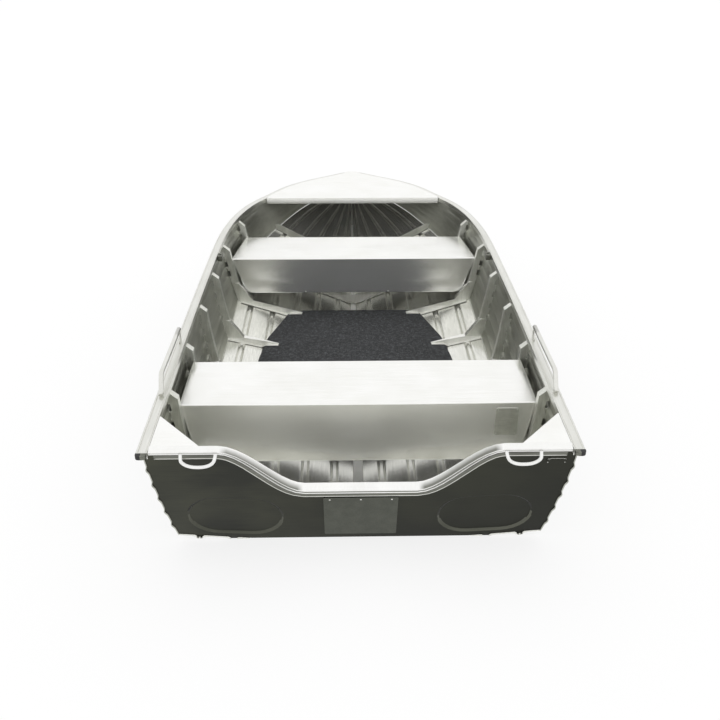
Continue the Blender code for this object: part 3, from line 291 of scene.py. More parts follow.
# Engine pad: thicker plate, sanded, with painted shade a little lighter than the transom's.
shadedPadPlate = sheetMetal("paintedShadePadPlate", {
    "dark": "50524B", "light": "5E6058", "roughness": 0.42,
    "cloudSize": 40.0 * mm, "lineShare": 0.6, "bump": 0.12,
})
# Deck sheet seen from below: unbrushed, with painted shade so that it gives little light back.
shadedUnderDeck = sheetMetal("paintedShadeUnderside", {
    "dark": "3A3934", "light": "4A4943", "roughness": 0.50,
    "lineSpacing": 8.0 * mm, "cloudSize": 90.0 * mm, "lineShare": 0.4,
})
# The rail's aft face and skirt: the same extrusion, grey with painted shade where they face aft and down.
shadedRailFace = sheetMetal("paintedShadeRailFace", {
    "dark": "6A6B64", "light": "82837B", "roughness": 0.34,
    "stretch": (0.05, 1.0, 1.0), "lineSpacing": 3.0 * mm,
    "cloudStretch": (0.3, 1.0, 1.0), "bumpHeight": 0.3 * mm,
})
# Sand-cast aluminium rowlock seat: mottled grey with a grainy skin.
castMetal = sheetMetal("castAluminium", {
    "dark": "66675F", "light": "8E8F86", "roughness": 0.48, "roughRange": 0.06,
    "lineSpacing": 3.0 * mm, "cloudSize": 9.0 * mm, "lineShare": 0.6, "bump": 0.35, "bumpHeight": 0.6 * mm,
})
# Stamped plate and tag: thin grey aluminium, blank.
stampedPlate = sheetMetal("stampedPlate", {
    "dark": "C2C3BA", "light": "D6D7CE", "roughness": 0.30, "metallic": 0.80,
    "stretch": (0.1, 1.0, 1.0), "lineSpacing": 3.0 * mm, "cloudSize": 30.0 * mm, "bumpHeight": 0.3 * mm,
})
# Aluminium weld bead and rivet heads: bright, with a fine ripple.
weldMetal = sheetMetal("weldedAluminium", {
    "dark": "DCDCD6", "light": "F4F4F0", "roughness": 0.32, "roughRange": 0.06,
    "lineSpacing": 3.0 * mm, "cloudSize": 10.0 * mm, "lineShare": 0.6, "bump": 0.25, "bumpHeight": 0.5 * mm,
})
# Polyester powder coat on the handles: even white with a faint orange peel.
powderCoat = moulded("whitePowderCoat", {
    "dark": "EDEDEB", "light": "F6F6F4", "roughness": 0.35, "ior": 1.50,
    "grain": 3.0 * mm, "bump": 0.10, "bumpHeight": 0.3 * mm,
})
# Black polyethylene caps and bung: low sheen, fine grain.
blackMoulding = moulded("blackPolyethylene", {
    "dark": "0B0B0C", "light": "171718", "roughness": 0.48, "ior": 1.51,
    "grain": 1.5 * mm, "bump": 0.20, "bumpHeight": 0.3 * mm,
})


def makeCarpet():
    # needle-punched polypropylene marine carpet: no weave, short tangled fibres that mottle the charcoal
    look = {
        "tones": ((0.34, "0E0F11"), (0.50, "222426"), (0.66, "505255")),
        "tuft": 15.0 * mm, "fibre": 4.5 * mm, "fibreShare": 0.35,
        "roughness": 0.92, "bump": 0.8, "bumpHeight": 2.0 * mm, "sheen": 0.08, "sheenRoughness": 0.6,
    }
    material, tree, shader, place = startMaterial("needlePunchedCarpet", 0.0, look["roughness"])
    shader.inputs["Sheen Weight"].default_value = look["sheen"]
    shader.inputs["Sheen Roughness"].default_value = look["sheenRoughness"]
    tufts = addNode(
        tree, "ShaderNodeTexNoise",
        {"Scale": 1.0 / look["tuft"], "Detail": 4.0, "Roughness": 0.75}, {"Vector": place},
    )
    fibres = addNode(
        tree, "ShaderNodeTexVoronoi",
        {"Scale": 1.0 / look["fibre"], "Randomness": 1.0}, {"Vector": place},
    )
    mix = addNode(
        tree, "ShaderNodeMix", {"data_type": "FLOAT", 0: look["fibreShare"]},
        {2: tufts.outputs["Fac"], 3: fibres.outputs["Distance"]},
    )
    paint(tree, shader, look, look["tones"], mix.outputs[0], mix.outputs[0])
    return material


carpet = makeCarpet()
print("materials ready")


def cadMesh(name):
    # the node's own mesh, with the corners its faces share joined again
    source = nodes[name].data
    bm = bmesh.new()
    corners = [bm.verts.new(vertex.co) for vertex in source.vertices]
    for face in source.polygons:
        bm.faces.new([corners[i] for i in face.vertices])
    bmesh.ops.remove_doubles(bm, verts=bm.verts, dist=0.01 * mm)
    bmesh.ops.recalc_face_normals(bm, faces=bm.faces)
    return bm


def addPiece(name, bm, material, stoodFor=()):
    data = bpy.data.meshes.new(name)
    for face in bm.faces:
        face.smooth = True
    bm.to_mesh(data)
    bm.free()
    piece = bpy.data.objects.new(name, data)
    scene.collection.objects.link(piece)
    data.materials.append(material)
    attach(piece, "root")
    if stoodFor:
        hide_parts(*stoodFor)
    return piece


flatAngle = 0.8  # degrees between faces that count as one flat face
joinAngle = 60.0


def flatten(bm):
    bmesh.ops.dissolve_limit(bm, angle_limit=math.radians(flatAngle), verts=bm.verts, edges=bm.edges)


def soften(piece, width, segments=2, angle=32.0):
    bevel = piece.modifiers.new("softEdges", "BEVEL")
    bevel.width = width
    bevel.segments = segments
    bevel.limit_method = "ANGLE"
    bevel.angle_limit = math.radians(angle)
    normals = piece.modifiers.new("flatFaces", "WEIGHTED_NORMAL")
    normals.keep_sharp = True


def fair(piece, levels):
    smooth = piece.modifiers.new("fairing", "SUBSURF")
    smooth.levels = levels
    smooth.render_levels = levels


def quadMesh(name, creaseAngle):
    # the node's mesh in four-sided faces, creased where it turns sharply
    bm = cadMesh(name)
    bmesh.ops.join_triangles(
        bm, faces=bm.faces,
        angle_face_threshold=math.radians(joinAngle), angle_shape_threshold=math.pi,
    )
    crease = bm.edges.layers.float.new("crease_edge")
    for edge in bm.edges:
        if edge.calc_face_angle(0.0) > math.radians(creaseAngle):
            edge[crease] = 1.0
    return bm


def surfaceTree(name):
    # the node's surface, ready for rays
    bm = cadMesh(name)
    found = BVHTree.FromBMesh(bm)
    bm.free()
    return found


def ringEdges(bm, ring):
    return [bm.edges.new((ring[i], ring[(i + 1) % len(ring)])) for i in range(len(ring))]


def ringFaces(bm, first, second):
    count = len(first)
    for i in range(count):
        j = (i + 1) % count
        bm.faces.new((first[i], first[j], second[j], second[i]))


def joinRings(bm, rings):
    for first, second in zip(rings, rings[1:]):
        ringFaces(bm, first, second)


def skinRings(bm, rings):
    # a closed skin over a row of rings
    joinRings(bm, rings)
    bm.faces.new(rings[0])
    bm.faces.new(rings[-1])
    bmesh.ops.recalc_face_normals(bm, faces=bm.faces)


def cutLevel(bm, place, normal):
    # new edges where a plane crosses the mesh
    bmesh.ops.bisect_plane(
        bm, geom=bm.verts[:] + bm.edges[:] + bm.faces[:], dist=0.001 * mm, plane_co=place, plane_no=normal,
    )


hullSkin = {
    "creaseAngle": 50.0,
    "foldAngle": 17.0,
    "foldCrease": 0.75,
    "levels": 3,
}


def makeHull():
    for side in ("Port", "Starboard"):
        # the sides take the darker painted-shade sheet
        for zone, material in (("Bottom", pressedBottom), ("Side", shadedSideMetal)):
            node = "hull" + zone + side
            bm = quadMesh(node, hullSkin["creaseAngle"])
            crease = bm.edges.layers.float["crease_edge"]
            for edge in bm.edges:
                if math.radians(hullSkin["foldAngle"]) < edge.calc_face_angle(0.0) and edge[crease] < 1.0:
                    edge[crease] = hullSkin["foldCrease"]
            piece = addPiece("swaged" + zone + side, bm, material, [node])
            fair(piece, hullSkin["levels"])


makeHull()
print("hull sheets faired")


# folded, cast and moulded pieces that keep their solid's shape
dressing = (
    # node, piece, material, slot, edge radius
    ("aftSeat", "aftSeatBox", seatSheet, "bright_aluminium", 1.2 * mm),
    ("forwardSeat", "forwardSeatBox", seatSheet, "bright_aluminium", 1.2 * mm),
    ("cornerGussetPort", "cornerPlatePort", brushedSheet, "bright_aluminium", 0.7 * mm),
    ("cornerGussetStarboard", "cornerPlateStarboard", brushedSheet, "bright_aluminium", 0.7 * mm),
    ("keelson", "keelsonBar", foldedRib, "bright_aluminium", 0.8 * mm),
    # the keel takes the sides' painted shade
    ("keel", "keelBar", shadedSideMetal, "hull_sheet", 1.5 * mm),
    ("rowlockSeatPort", "rowlockBlockPort", castMetal, "hull_sheet", 1.0 * mm),
    ("rowlockSeatStarboard", "rowlockBlockStarboard", castMetal, "hull_sheet", 1.0 * mm),
    ("outboardPadInner", "enginePadInner", sandedInside, "bright_aluminium", 1.0 * mm),
    # the pad's outer plate takes painted shade
    ("outboardPadOuter", "enginePadOuter", shadedPadPlate, "hull_sheet", 0.8 * mm),
    ("capacityPlate", "blankPlate", stampedPlate, "hull_sheet", 0.4 * mm),
    # the tag takes the transom's painted shade
    ("smallTag", "blankTag", shadedTransomMetal, "transom_sheet", 0.4 * mm),
    ("drainBung", "bungPlug", blackMoulding, "black_moulding", 0.8 * mm),
)


def makeDressed():
    for node, name, material, slotName, width in dressing:
        bm = cadMesh(node)
        flatten(bm)
        piece = addPiece(name, bm, material, [node])
        soften(piece, width)


makeDressed()

deckSheet = {
    "edge": 1.4 * mm,
    "segments": 3,
    "under": -0.3,
    "fore": 0.9,
}
cornerCap = {
    "edge": 4.0 * mm,
    "segments": 3,
    "sharpest": 40.0,
    "blackShare": 0.50,
}


def makeDeck():
    # bright above, painted shade below and on the forward edge
    bm = cadMesh("foredeck")
    flatten(bm)
    bm.normal_update()
    for face in bm.faces:
        shadedFace = face.normal.z < deckSheet["under"] or face.normal.y > deckSheet["fore"]
        face.material_index = 1 if shadedFace else 0
    piece = addPiece("foldedForedeck", bm, brushedSheet, ["foredeck"])
    piece.data.materials.append(shadedUnderDeck)
    soften(piece, deckSheet["edge"], deckSheet["segments"])


def makeCaps():
    # the outer part is the black moulding, the inner part the gunwale's own crimped end
    for side, sign in sides:
        node = "gunwaleCap" + side
        low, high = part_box(node)
        outer = low[0] if sign < 0.0 else high[0]
        split = outer - sign * (high[0] - low[0]) * cornerCap["blackShare"]
        bm = cadMesh(node)
        cutLevel(bm, (split, 0.0, 0.0), starboard)
        for face in bm.faces:
            face.material_index = 0 if (face.calc_center_median().x - split) * sign > 0.0 else 1
        piece = addPiece("cornerCap" + side, bm, blackMoulding, [node])
        piece.data.materials.append(castMetal)
        soften(piece, cornerCap["edge"], cornerCap["segments"], cornerCap["sharpest"])


makeDeck()
makeCaps()

framing = {
    "edge": 0.9 * mm,
    "sheet": 2.0 * mm,
    "halfFrom": 100.0 * mm,  # a frame that starts further out than this ends in a point
    "tip": 4.0 * mm,
    "tipWidth": 1.5 * mm,
    "kneeHeight": 50.0 * mm,
    "flangeTilt": 0.5,
    "webTilt": -0.7,
}
notch = {
    "shares": (0.13, 0.31, 0.48, 0.65, 0.83),  # of the side sheet's height
    "length": 30.0 * mm,
    "depth": 9.0 * mm,
    "reach": 1.7,  # cutter's width over the depth, so that it passes the sheet
    "through": 8.0 * mm,
    "footClear": 12.0 * mm,
    "headClear": 30.0 * mm,
    "aftOfRib": 3.0 * mm,
    "scan": 4.0 * mm,
    "scanFrom": -50.0 * mm,
    "scanTo": 550.0 * mm,
    "scanStart": 50.0 * mm,  # off the centreline
}


def cutOut(bm, cutter):
    # takes the cutter's solids out of the mesh and gives the result back
    parts = []
    for mesh in (bm, cutter):
        data = bpy.data.meshes.new("cutOut")
        mesh.to_mesh(data)
        mesh.free()
        part = bpy.data.objects.new("cutOut", data)
        scene.collection.objects.link(part)
        parts.append(part)
    cut = parts[0].modifiers.new("cut", "BOOLEAN")
    cut.operation = "DIFFERENCE"
    cut.solver = "EXACT"
    cut.object = parts[1]
    result = bpy.data.meshes.new_from_object(parts[0].evaluated_get(bpy.context.evaluated_depsgraph_get()))
    out = bmesh.new()
    out.from_mesh(result)
    bpy.data.meshes.remove(result)
    for part in parts:
        data = part.data
        bpy.data.objects.remove(part, do_unlink=True)
        bpy.data.meshes.remove(data)
    return out


def sideSpan(wall, sign, y):
    # points on the side sheet's inner face at a station, from the chine up
    hits = []
    z = notch["scanFrom"]
    while z < notch["scanTo"]:
        hit = wall.ray_cast(Vector((sign * notch["scanStart"], y, z)), starboard * sign)[0]
        if hit is not None:
            hits.append(hit)
        z += notch["scan"]
    return hits


def makeNotches(node, sign, wall):
    # the pressed swages leave openings between the sheet and the rib's straight edge
    low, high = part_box(node)
    y = low[1] + framing["sheet"] / 2.0
    hits = sideSpan(wall, sign, low[1] - notch["aftOfRib"])
    lower, upper = hits[0], hits[-1]
    lean = math.atan2(upper.x - lower.x, upper.z - lower.z)
    size = Matrix.Diagonal((notch["depth"] * notch["reach"], notch["through"], notch["length"], 1.0))
    cutter = bmesh.new()
    for share in notch["shares"]:
        z = lower.z + (upper.z - lower.z) * share
        if not low[2] + notch["footClear"] < z < high[2] - notch["headClear"]:
            continue
        near = min(hits, key=lambda hit: abs(hit.z - z))
        place = Matrix.Translation((near.x - sign * notch["depth"] / 2.0, y, z))
        bmesh.ops.create_cube(cutter, size=1.0, matrix=place @ Matrix.Rotation(lean, 4, "Y") @ size)
    return cutter


def makeFloorFrame(node):
    # dull channel with painted shade on the knee's aft faces and polished top flanges
    bm = cadMesh(node)
    flatten(bm)
    low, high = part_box(node)
    inner = min(abs(low[0]), abs(high[0]))
    web = low[1] + framing["sheet"]
    if inner > framing["halfFrom"]:
        # the flange runs out to a point at the frame's inboard end
        for vertex in bm.verts:
            if abs(vertex.co.x) < inner + framing["tip"] and vertex.co.y > web + 1.0 * mm:
                vertex.co.y = web + framing["tipWidth"]
    knee = low[2] + framing["kneeHeight"]
    cutLevel(bm, (0.0, 0.0, knee), upward)
    bm.normal_update()
    # aft faces of the web above the knee line take the ribs' painted shade, top faces the polished flange
    for face in bm.faces:
        if face.normal.z > framing["flangeTilt"]:
            face.material_index = 2
        elif face.normal.y < framing["webTilt"] and face.calc_center_median().z > knee:
            face.material_index = 1
    piece = addPiece(node + "Folded", bm, foldedRib, [node])
    piece.data.materials.append(shadedRibMetal)
    piece.data.materials.append(wornFlange)
    soften(piece, framing["edge"])


def makeFraming():
    walls = {side: surfaceTree("hullSide" + side) for side, sign in sides}
    for node in sorted(nodes):
        if node.startswith("floorFrame"):
            makeFloorFrame(node)
        for side, sign in sides:
            if node.startswith("sideRib") and node.endswith(side):
                # the side ribs take their grey painted shade
                bm = cutOut(cadMesh(node), makeNotches(node, sign, walls[side]))
                flatten(bm)
                piece = addPiece(node + "Folded", bm, shadedRibMetal, [node])
                soften(piece, framing["edge"])


makeFraming()
print("folded pieces made")


# round bar with a fair surface
roundBars = (
    # node, piece, material, slot, crease angle
    ("grabHandlePort", "grabRailPort", extrusion, "bright_aluminium", 55.0),
    ("grabHandleStarboard", "grabRailStarboard", extrusion, "bright_aluminium", 55.0),
    ("bowEye", "bowEyeRod", extrusion, "bright_aluminium", 60.0),
)


def makeBars():
    for node, name, material, slotName, creaseAngle in roundBars:
        fair(addPiece(name, quadMesh(node, creaseAngle), material, [node]), 2)


makeBars()

liftHandle = {
    "rod": 5.5 * mm,
    "lift": 9.0 * mm,
    "squareness": 2.3,
    "standOff": 0.4,
    "steps": 48,
    "round": 14,
    "edge": 0.8 * mm,
    "sharpest": 50.0,
}


leastCross = 0.05  # a run nearer than this to fore and aft takes its side from athwart


def sweepTube(bm, path, radius, count):
    # a round bar along a path, with closed ends
    rings = []
    for i, point in enumerate(path):
        before = path[max(i - 1, 0)]
        after = path[min(i + 1, len(path) - 1)]
        run = (after - before).normalized()
        side = run.cross(ahead)
        side = side.normalized() if side.length > leastCross else starboard
        other = run.cross(side).normalized()
        ring = []
        for step in range(count):
            turn = 2.0 * math.pi * step / count
            ring.append(bm.verts.new(point + (side * math.cos(turn) + other * math.sin(turn)) * radius))
        rings.append(ring)
    skinRings(bm, rings)


def makeHandles():
    for side in ("Port", "Starboard"):
        node = "transomHandle" + side
        low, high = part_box(node)
        rod = liftHandle["rod"]
        middle = (low[0] + high[0]) / 2.0
        half = (high[0] - low[0]) / 2.0 - rod
        top = high[2] - rod / 2.0
        depth = top - low[2] - rod - liftHandle["lift"]
        aft = low[1] + rod
        root = high[1] - rod / 2.0
        power = 2.0 / liftHandle["squareness"]
        points = []
        for i in range(liftHandle["steps"] + 1):
            turn = math.pi * i / liftHandle["steps"]
            across = math.copysign(abs(math.cos(turn)) ** power, math.cos(turn))
            out = min(max(math.sin(turn), 0.0) / liftHandle["standOff"], 1.0)
            out = out * out * (3.0 - 2.0 * out)
            drop = depth * max(math.sin(turn), 0.0) ** power
            points.append(Vector((middle + half * across, root + (aft - root) * out, top - drop)))
        bm = bmesh.new()
        sweepTube(bm, points, rod, liftHandle["round"])
        piece = addPiece("liftHandle" + side, bm, powderCoat, [node])
        soften(piece, liftHandle["edge"], 2, liftHandle["sharpest"])


makeHandles()


gunwaleTrim = {
    "rim": 3.0 * mm,
    "groove": 1.6 * mm,
    "grooveDepth": 2.4 * mm,
    "topTilt": 0.9,
    "edge": 1.2 * mm,
    "sharpest": 50.0,
}


def grooveFaces(bm, faces, trim):
    # a fine groove all round a run of faces, a little in from their edge
    depth = trim["grooveDepth"]
    for width, rise in ((trim["rim"], 0.0), (trim["groove"], -depth), (trim["groove"], depth)):
        bmesh.ops.inset_region(bm, faces=faces, thickness=width, depth=rise, use_even_offset=True)


def makeGunwales():
    for side in ("Port", "Starboard"):
        node = "gunwale" + side
        bm = quadMesh(node, 180.0)
        tops = [face for face in bm.faces if face.normal.z > gunwaleTrim["topTilt"]]
        grooveFaces(bm, tops, gunwaleTrim)
        piece = addPiece("gunwaleExtrusion" + side, bm, extrusion, [node])
        soften(piece, gunwaleTrim["edge"], 2, gunwaleTrim["sharpest"])


makeGunwales()

railTrim = {
    "rim": 3.0 * mm,
    "groove": 1.2 * mm,
    "grooveDepth": 1.2 * mm,
    "aftTilt": -0.75,
    "edge": 4.0 * mm,
    "segments": 4,
    "sharpest": 40.0,
    "grey": "83847D",
    "greyFrom": 10.0 * mm,
    "greyTo": 34.0 * mm,
    "levelTilt": 0.12,
    "steepTilt": 0.38,
}
railLip = {
    "drop": 14.0 * mm,
    "sheet": 7.0 * mm,
    "seat": 0.3 * mm,
    "bead": 1.5 * mm,
    "beadSides": 10,
    "edge": 0.4 * mm,
    "overlap": 1.0 * mm,
    "below": 2.0 * mm,
    "step": 12.0 * mm,
    "ends": 12.0 * mm,
}


def greySlopes(inward, start):
    # the extrusion again, with painted shade along its aft half where it slopes
    material = sheetMetal("paintedShadeRailTop", {**extrusionLook, "dark": "F4F4F1", "light": "FDFDFB"})
    tree = material.node_tree
    surface = addNode(tree, "ShaderNodeNewGeometry")
    tilt = addNode(tree, "ShaderNodeSeparateXYZ", None, {"Vector": surface.outputs["Normal"]})
    steep = addNode(tree, "ShaderNodeMath", {"operation": "ABSOLUTE"}, {0: tilt.outputs["X"]})
    slope = addNode(
        tree, "ShaderNodeMapRange",
        {"From Min": railTrim["levelTilt"], "From Max": railTrim["steepTilt"]}, {"Value": steep.outputs[0]},
    )
    shadeAlong(
        material, inward, start + railTrim["greyTo"], start + railTrim["greyFrom"], railTrim["grey"],
        slope.outputs["Result"],
    )
    return material


def makeRail():
    bm = quadMesh("transomRail", 180.0)  # no creases: the edges are rounded by a bevel
    aft = [face for face in bm.faces if face.normal.y < railTrim["aftTilt"]]
    inward = -aft[0].normal.copy()
    start = min(vertex.co.dot(inward) for vertex in bm.verts)
    grooveFaces(bm, aft, railTrim)
    bm.normal_update()
    # the aft faces take the rail's painted shade
    for face in aft:
        face.material_index = 1
    shadedTop = greySlopes(inward, start)
    piece = addPiece("railExtrusion", bm, shadedTop, ["transomRail"])
    piece.data.materials.append(shadedRailFace)
    soften(piece, railTrim["edge"], railTrim["segments"], railTrim["sharpest"])


def railEdge(rail, panel):
    # the rail's lower edge along the transom's aft face, from the middle out to both sides
    low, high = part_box("transomRail")
    halves = []
    for sign in (-1.0, 1.0):
        x = 0.0
        z = low[2] - railLip["below"]
        half = []
        while x < high[0] - railLip["ends"]:
            for again in range(2):  # the transom leans, so the first height is put right once
                wall = panel.ray_cast(Vector((sign * x, low[1] - clear, z)), ahead)[0]
                hit = None
                if wall is not None:
                    hit = rail.ray_cast(Vector((sign * x, wall.y - railLip["overlap"], 0.0)), upward)[0]
                if hit is not None:
                    z = hit.z - railLip["below"]
            if hit is not None:
                half.append((sign * x, hit.z))
            x += railLip["step"]
        halves.append(half)
    return list(reversed(halves[0])) + halves[1][1:]


def makeRailLip():
    # the rail's skirt against the transom, grey with painted shade, with a bright rolled edge below
    panel = surfaceTree("transomPanel")
    edge = railEdge(surfaceTree("transomRail"), panel)
    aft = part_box("transomRail")[0][1] - clear
    out = railLip["sheet"]
    seat = railLip["seat"]
    skirt = bmesh.new()
    rings = []
    line = []
    for i, (x, z) in enumerate(edge):
        before, after = edge[max(i - 1, 0)], edge[min(i + 1, len(edge) - 1)]
        rise = (after[1] - before[1]) / (after[0] - before[0])
        down = z - railLip["drop"] * math.sqrt(1.0 + rise * rise)
        wall = panel.ray_cast(Vector((x, aft, down)), ahead)[0]
        upper = panel.ray_cast(Vector((x, aft, z - railLip["overlap"])), ahead)[0]
        if wall is None or upper is None:
            continue
        top = z + railLip["overlap"]
        corners = (
            (x, upper.y - out, top), (x, wall.y - out, down),
            (x, wall.y + seat, down), (x, upper.y + seat, top),
        )
        rings.append([skirt.verts.new(corner) for corner in corners])
        line.append(Vector(corners[1]))
    skinRings(skirt, rings)
    soften(addPiece("railSkirt", skirt, shadedRailFace), railLip["edge"])
    bead = bmesh.new()
    sweepTube(bead, line, railLip["bead"], railLip["beadSides"])
    addPiece("railBead", bead, extrusion)


makeRail()
makeRailLip()
print("gunwale and rail made")


oval = {
    "halfLength": 0.1685,
    "halfHeight": 0.105,
    "centreX": 0.4360,
    "centreZ": 0.133,
    "tilt": 4.0,
    "profile": (  # in from the edge, depth
        (0.0, 0.0), (2.0 * mm, 0.7 * mm), (5.0 * mm, 3.2 * mm), (8.0 * mm, 5.7 * mm), (11.0 * mm, 6.4 * mm),
    ),
    "arcSteps": 14,
    "wallArea": 0.0015,  # the rings' faces are smaller than this
    "wallFrom": 0.2,
    "wallRise": 0.08,  # least tilt against the sheet for a face of the wall
}
transomSheet = {
    "insideTilt": 0.3,
    "edge": 0.6 * mm,
    "sharpest": 60.0,
}


def ovalRings(bm, centre, along, above, inward, radius):
    # rings of corners from the oval's edge down to its floor
    straight = oval["halfLength"] - radius
    rings = []
    for inset, depth in oval["profile"]:
        ring = []
        for end, start in ((1.0, -90.0), (-1.0, 90.0)):
            for step in range(oval["arcSteps"] + 1):
                turn = math.radians(start + 180.0 * step / oval["arcSteps"])
                point = centre + along * (end * straight + (radius - inset) * math.cos(turn))
                point += above * ((radius - inset) * math.sin(turn)) + inward * depth
                ring.append(bm.verts.new(point))
        rings.append(ring)
    return rings


def makeTransom():
    bm = cadMesh("transomPanel")
    flatten(bm)
    broad = sorted(bm.faces, key=lambda face: -face.calc_area())[:2]
    aftNormal = min((face.normal.copy() for face in broad), key=lambda normal: normal.y)
    upslope = starboard.cross(aftNormal)
    if upslope.z < 0.0:
        upslope = -upslope
    for face in broad:
        origin = face.verts[0].co.copy()
        outline = list(face.edges)
        bm.faces.remove(face)
        loops = []
        for sign in (-1.0, 1.0):
            # the oval's centre, on this face's plane, at its height
            centre = origin + upslope * ((oval["centreZ"] - origin.z) / upslope.z)
            centre.x = sign * oval["centreX"]
            tilt = math.radians(oval["tilt"]) * sign
            along = starboard * math.cos(tilt) + upslope * math.sin(tilt)
            above = upslope * math.cos(tilt) - starboard * math.sin(tilt)
            rings = ovalRings(bm, centre, along, above, -aftNormal, oval["halfHeight"] / upslope.z)
            outline += ringEdges(bm, rings[0])
            loops.append(rings)
        bmesh.ops.triangle_fill(bm, use_beauty=True, use_dissolve=False, edges=outline)
        for rings in loops:
            joinRings(bm, rings)
            bm.faces.new(rings[-1])
    bmesh.ops.recalc_face_normals(bm, faces=bm.faces)
    # the aft face keeps the transom's painted shade; downward walls of the ovals get painted shade, upward
    # walls a painted highlight
    for face in bm.faces:
        rise = face.normal.z - aftNormal.z
        if face.normal.y > transomSheet["insideTilt"]:
            face.material_index = 1
        elif face.calc_area() < oval["wallArea"] and abs(face.calc_center_median().x) > oval["wallFrom"]:
            if rise < -oval["wallRise"]:
                face.material_index = 2
            elif rise > oval["wallRise"]:
                face.material_index = 3
    piece = addPiece("transomSheet", bm, shadedTransomMetal, ["transomPanel"])
    for material in (sandedInside, shadedOvalWall, highlightedOvalWall):
        piece.data.materials.append(material)
    soften(piece, transomSheet["edge"], 2, transomSheet["sharpest"])


makeTransom()
print("transom made")


mat = {
    "corner": 14.0 * mm,
    "edge": 2.5 * mm,
    "segments": 3,
    "upright": 0.8,
}


def makeMat():
    bm = cadMesh("floorMat")
    flatten(bm)
    upright = []
    for edge in bm.edges:
        run = edge.verts[0].co - edge.verts[1].co
        if abs(run.z) > mat["upright"] * run.length:
            upright.append(edge)
    bmesh.ops.bevel(
        bm, geom=upright, offset=mat["corner"], segments=4, profile=0.5, affect="EDGES", clamp_overlap=True,
    )
    piece = addPiece("carpetMat", bm, carpet, ["floorMat"])
    soften(piece, mat["edge"], mat["segments"])


makeMat()
print("mat made")


domeSteps = 12
domeProfile = ((1.0, 0.0), (1.0, 0.35), (0.8, 0.75), (0.42, 0.97))  # share of radius, of height


def addDome(bm, centre, out, radius, height):
    # a rivet head: a low dome with a rounded rim
    side = out.orthogonal().normalized()
    other = out.cross(side)
    rings = []
    for share, rise in domeProfile:
        ring = []
        for step in range(domeSteps):
            turn = 2.0 * math.pi * step / domeSteps
            point = centre + (side * math.cos(turn) + other * math.sin(turn)) * (radius * share)
            ring.append(bm.verts.new(point + out * (height * rise)))
        rings.append(ring)
    joinRings(bm, rings)
    tip = bm.verts.new(centre + out * height)
    last = rings[-1]
    for i in range(domeSteps):
        bm.faces.new((last[i], last[(i + 1) % domeSteps], tip))
    bm.faces.new(list(reversed(rings[0])))


beadSteps = 6
beadSides = 8
beadTip = 0.2  # share of the bead's width at its ends


def addBead(bm, centre, along, out, bead):
    # one weld: a long low bead with rounded ends
    side = along.cross(out).normalized()
    rings = []
    for step in range(beadSteps + 1):
        share = step / beadSteps * 2.0 - 1.0
        scale = math.sqrt(max(1.0 - share * share, beadTip * beadTip))
        middle = centre + along * (share * bead["length"] / 2.0)
        ring = []
        for turn in range(beadSides):
            angle = 2.0 * math.pi * turn / beadSides
            offset = side * (math.cos(angle) * bead["width"] / 2.0)
            offset += out * (math.sin(angle) * bead["height"])
            ring.append(bm.verts.new(middle + offset * scale))
        rings.append(ring)
    joinRings(bm, rings)
    bm.faces.new(list(reversed(rings[0])))
    bm.faces.new(rings[-1])


ribNumbers = range(1, 7)
foot = {
    "reach": 18.0 * mm,
    "sheet": 1.6 * mm,
    "step": 20.0 * mm,
    "rise": 85.0 * mm,  # above this the frame's edge lies on the side, not on the bottom
    "ends": 2.0 * mm,
    "lift": 0.4 * mm,
    "gap": 0.2 * mm,
    "edge": 0.5 * mm,
}
stitch = {
    "spacing": 38.0 * mm,
    "length": 18.0 * mm,
    "width": 3.0 * mm,
    "height": 1.2 * mm,
    "aftOfRib": 1.5 * mm,
    "footClear": 12.0 * mm,
    "headClear": 10.0 * mm,
    "look": 6.0 * mm,  # how far up the sheet its slope is taken
    "inboard": 200.0 * mm,
    "aftLean": 0.5,
}
kneeWeld = {
    "inset": 10.0 * mm,
    "length": 22.0 * mm,
    "width": 8.0 * mm,
    "height": 3.0 * mm,
}


def makeFeet():
    # the foot flange turned aft along the lower edge of each floor frame
    for node in sorted(nodes):
        if not node.startswith("floorFrame"):
            continue
        low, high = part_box(node)
        under = surfaceTree(node)
        first = low[0] + foot["ends"]
        reach = high[0] - low[0] - 2.0 * foot["ends"]
        count = max(int((high[0] - low[0]) / foot["step"]), 4)
        aft = low[1] - foot["reach"]
        fore = low[1] - foot["gap"]
        bm = bmesh.new()
        rings = []
        for i in range(count + 1):
            start = Vector((first + reach * i / count, low[1] + framing["sheet"] / 2.0, low[2] - clear))
            hit = under.ray_cast(start, upward)[0]
            if hit is None or hit.z > low[2] + foot["rise"]:
                continue
            bottom = hit.z + foot["lift"]
            top = bottom + foot["sheet"]
            corners = ((aft, bottom), (fore, bottom), (fore, top), (aft, top))
            rings.append([bm.verts.new((hit.x, y, z)) for y, z in corners])
        if len(rings) < 3:
            bm.free()
            continue
        skinRings(bm, rings)
        soften(addPiece(node + "Foot", bm, foldedRib), foot["edge"])


def makeStitches(side, sign):
    # stitch welds where each rib meets the side sheet
    wall = surfaceTree("hullSide" + side)
    out = Vector((-sign, -stitch["aftLean"], 0.0)).normalized()
    bm = bmesh.new()
    for index in ribNumbers:
        low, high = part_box("sideRib" + str(index) + side)
        inboard = sign * stitch["inboard"]
        y = low[1] - stitch["aftOfRib"]
        z = low[2] + stitch["footClear"]
        while z < high[2] - stitch["headClear"]:
            hit = wall.ray_cast(Vector((inboard, y, z)), starboard * sign)[0]
            above = wall.ray_cast(Vector((inboard, y, z + stitch["look"])), starboard * sign)[0]
            if hit is not None and above is not None:
                addBead(bm, hit, (above - hit).normalized(), out, stitch)
            z += stitch["spacing"]
    # the welds take the ribs' grey painted shade
    addPiece("ribStitchWelds" + side, bm, shadedRibMetal)


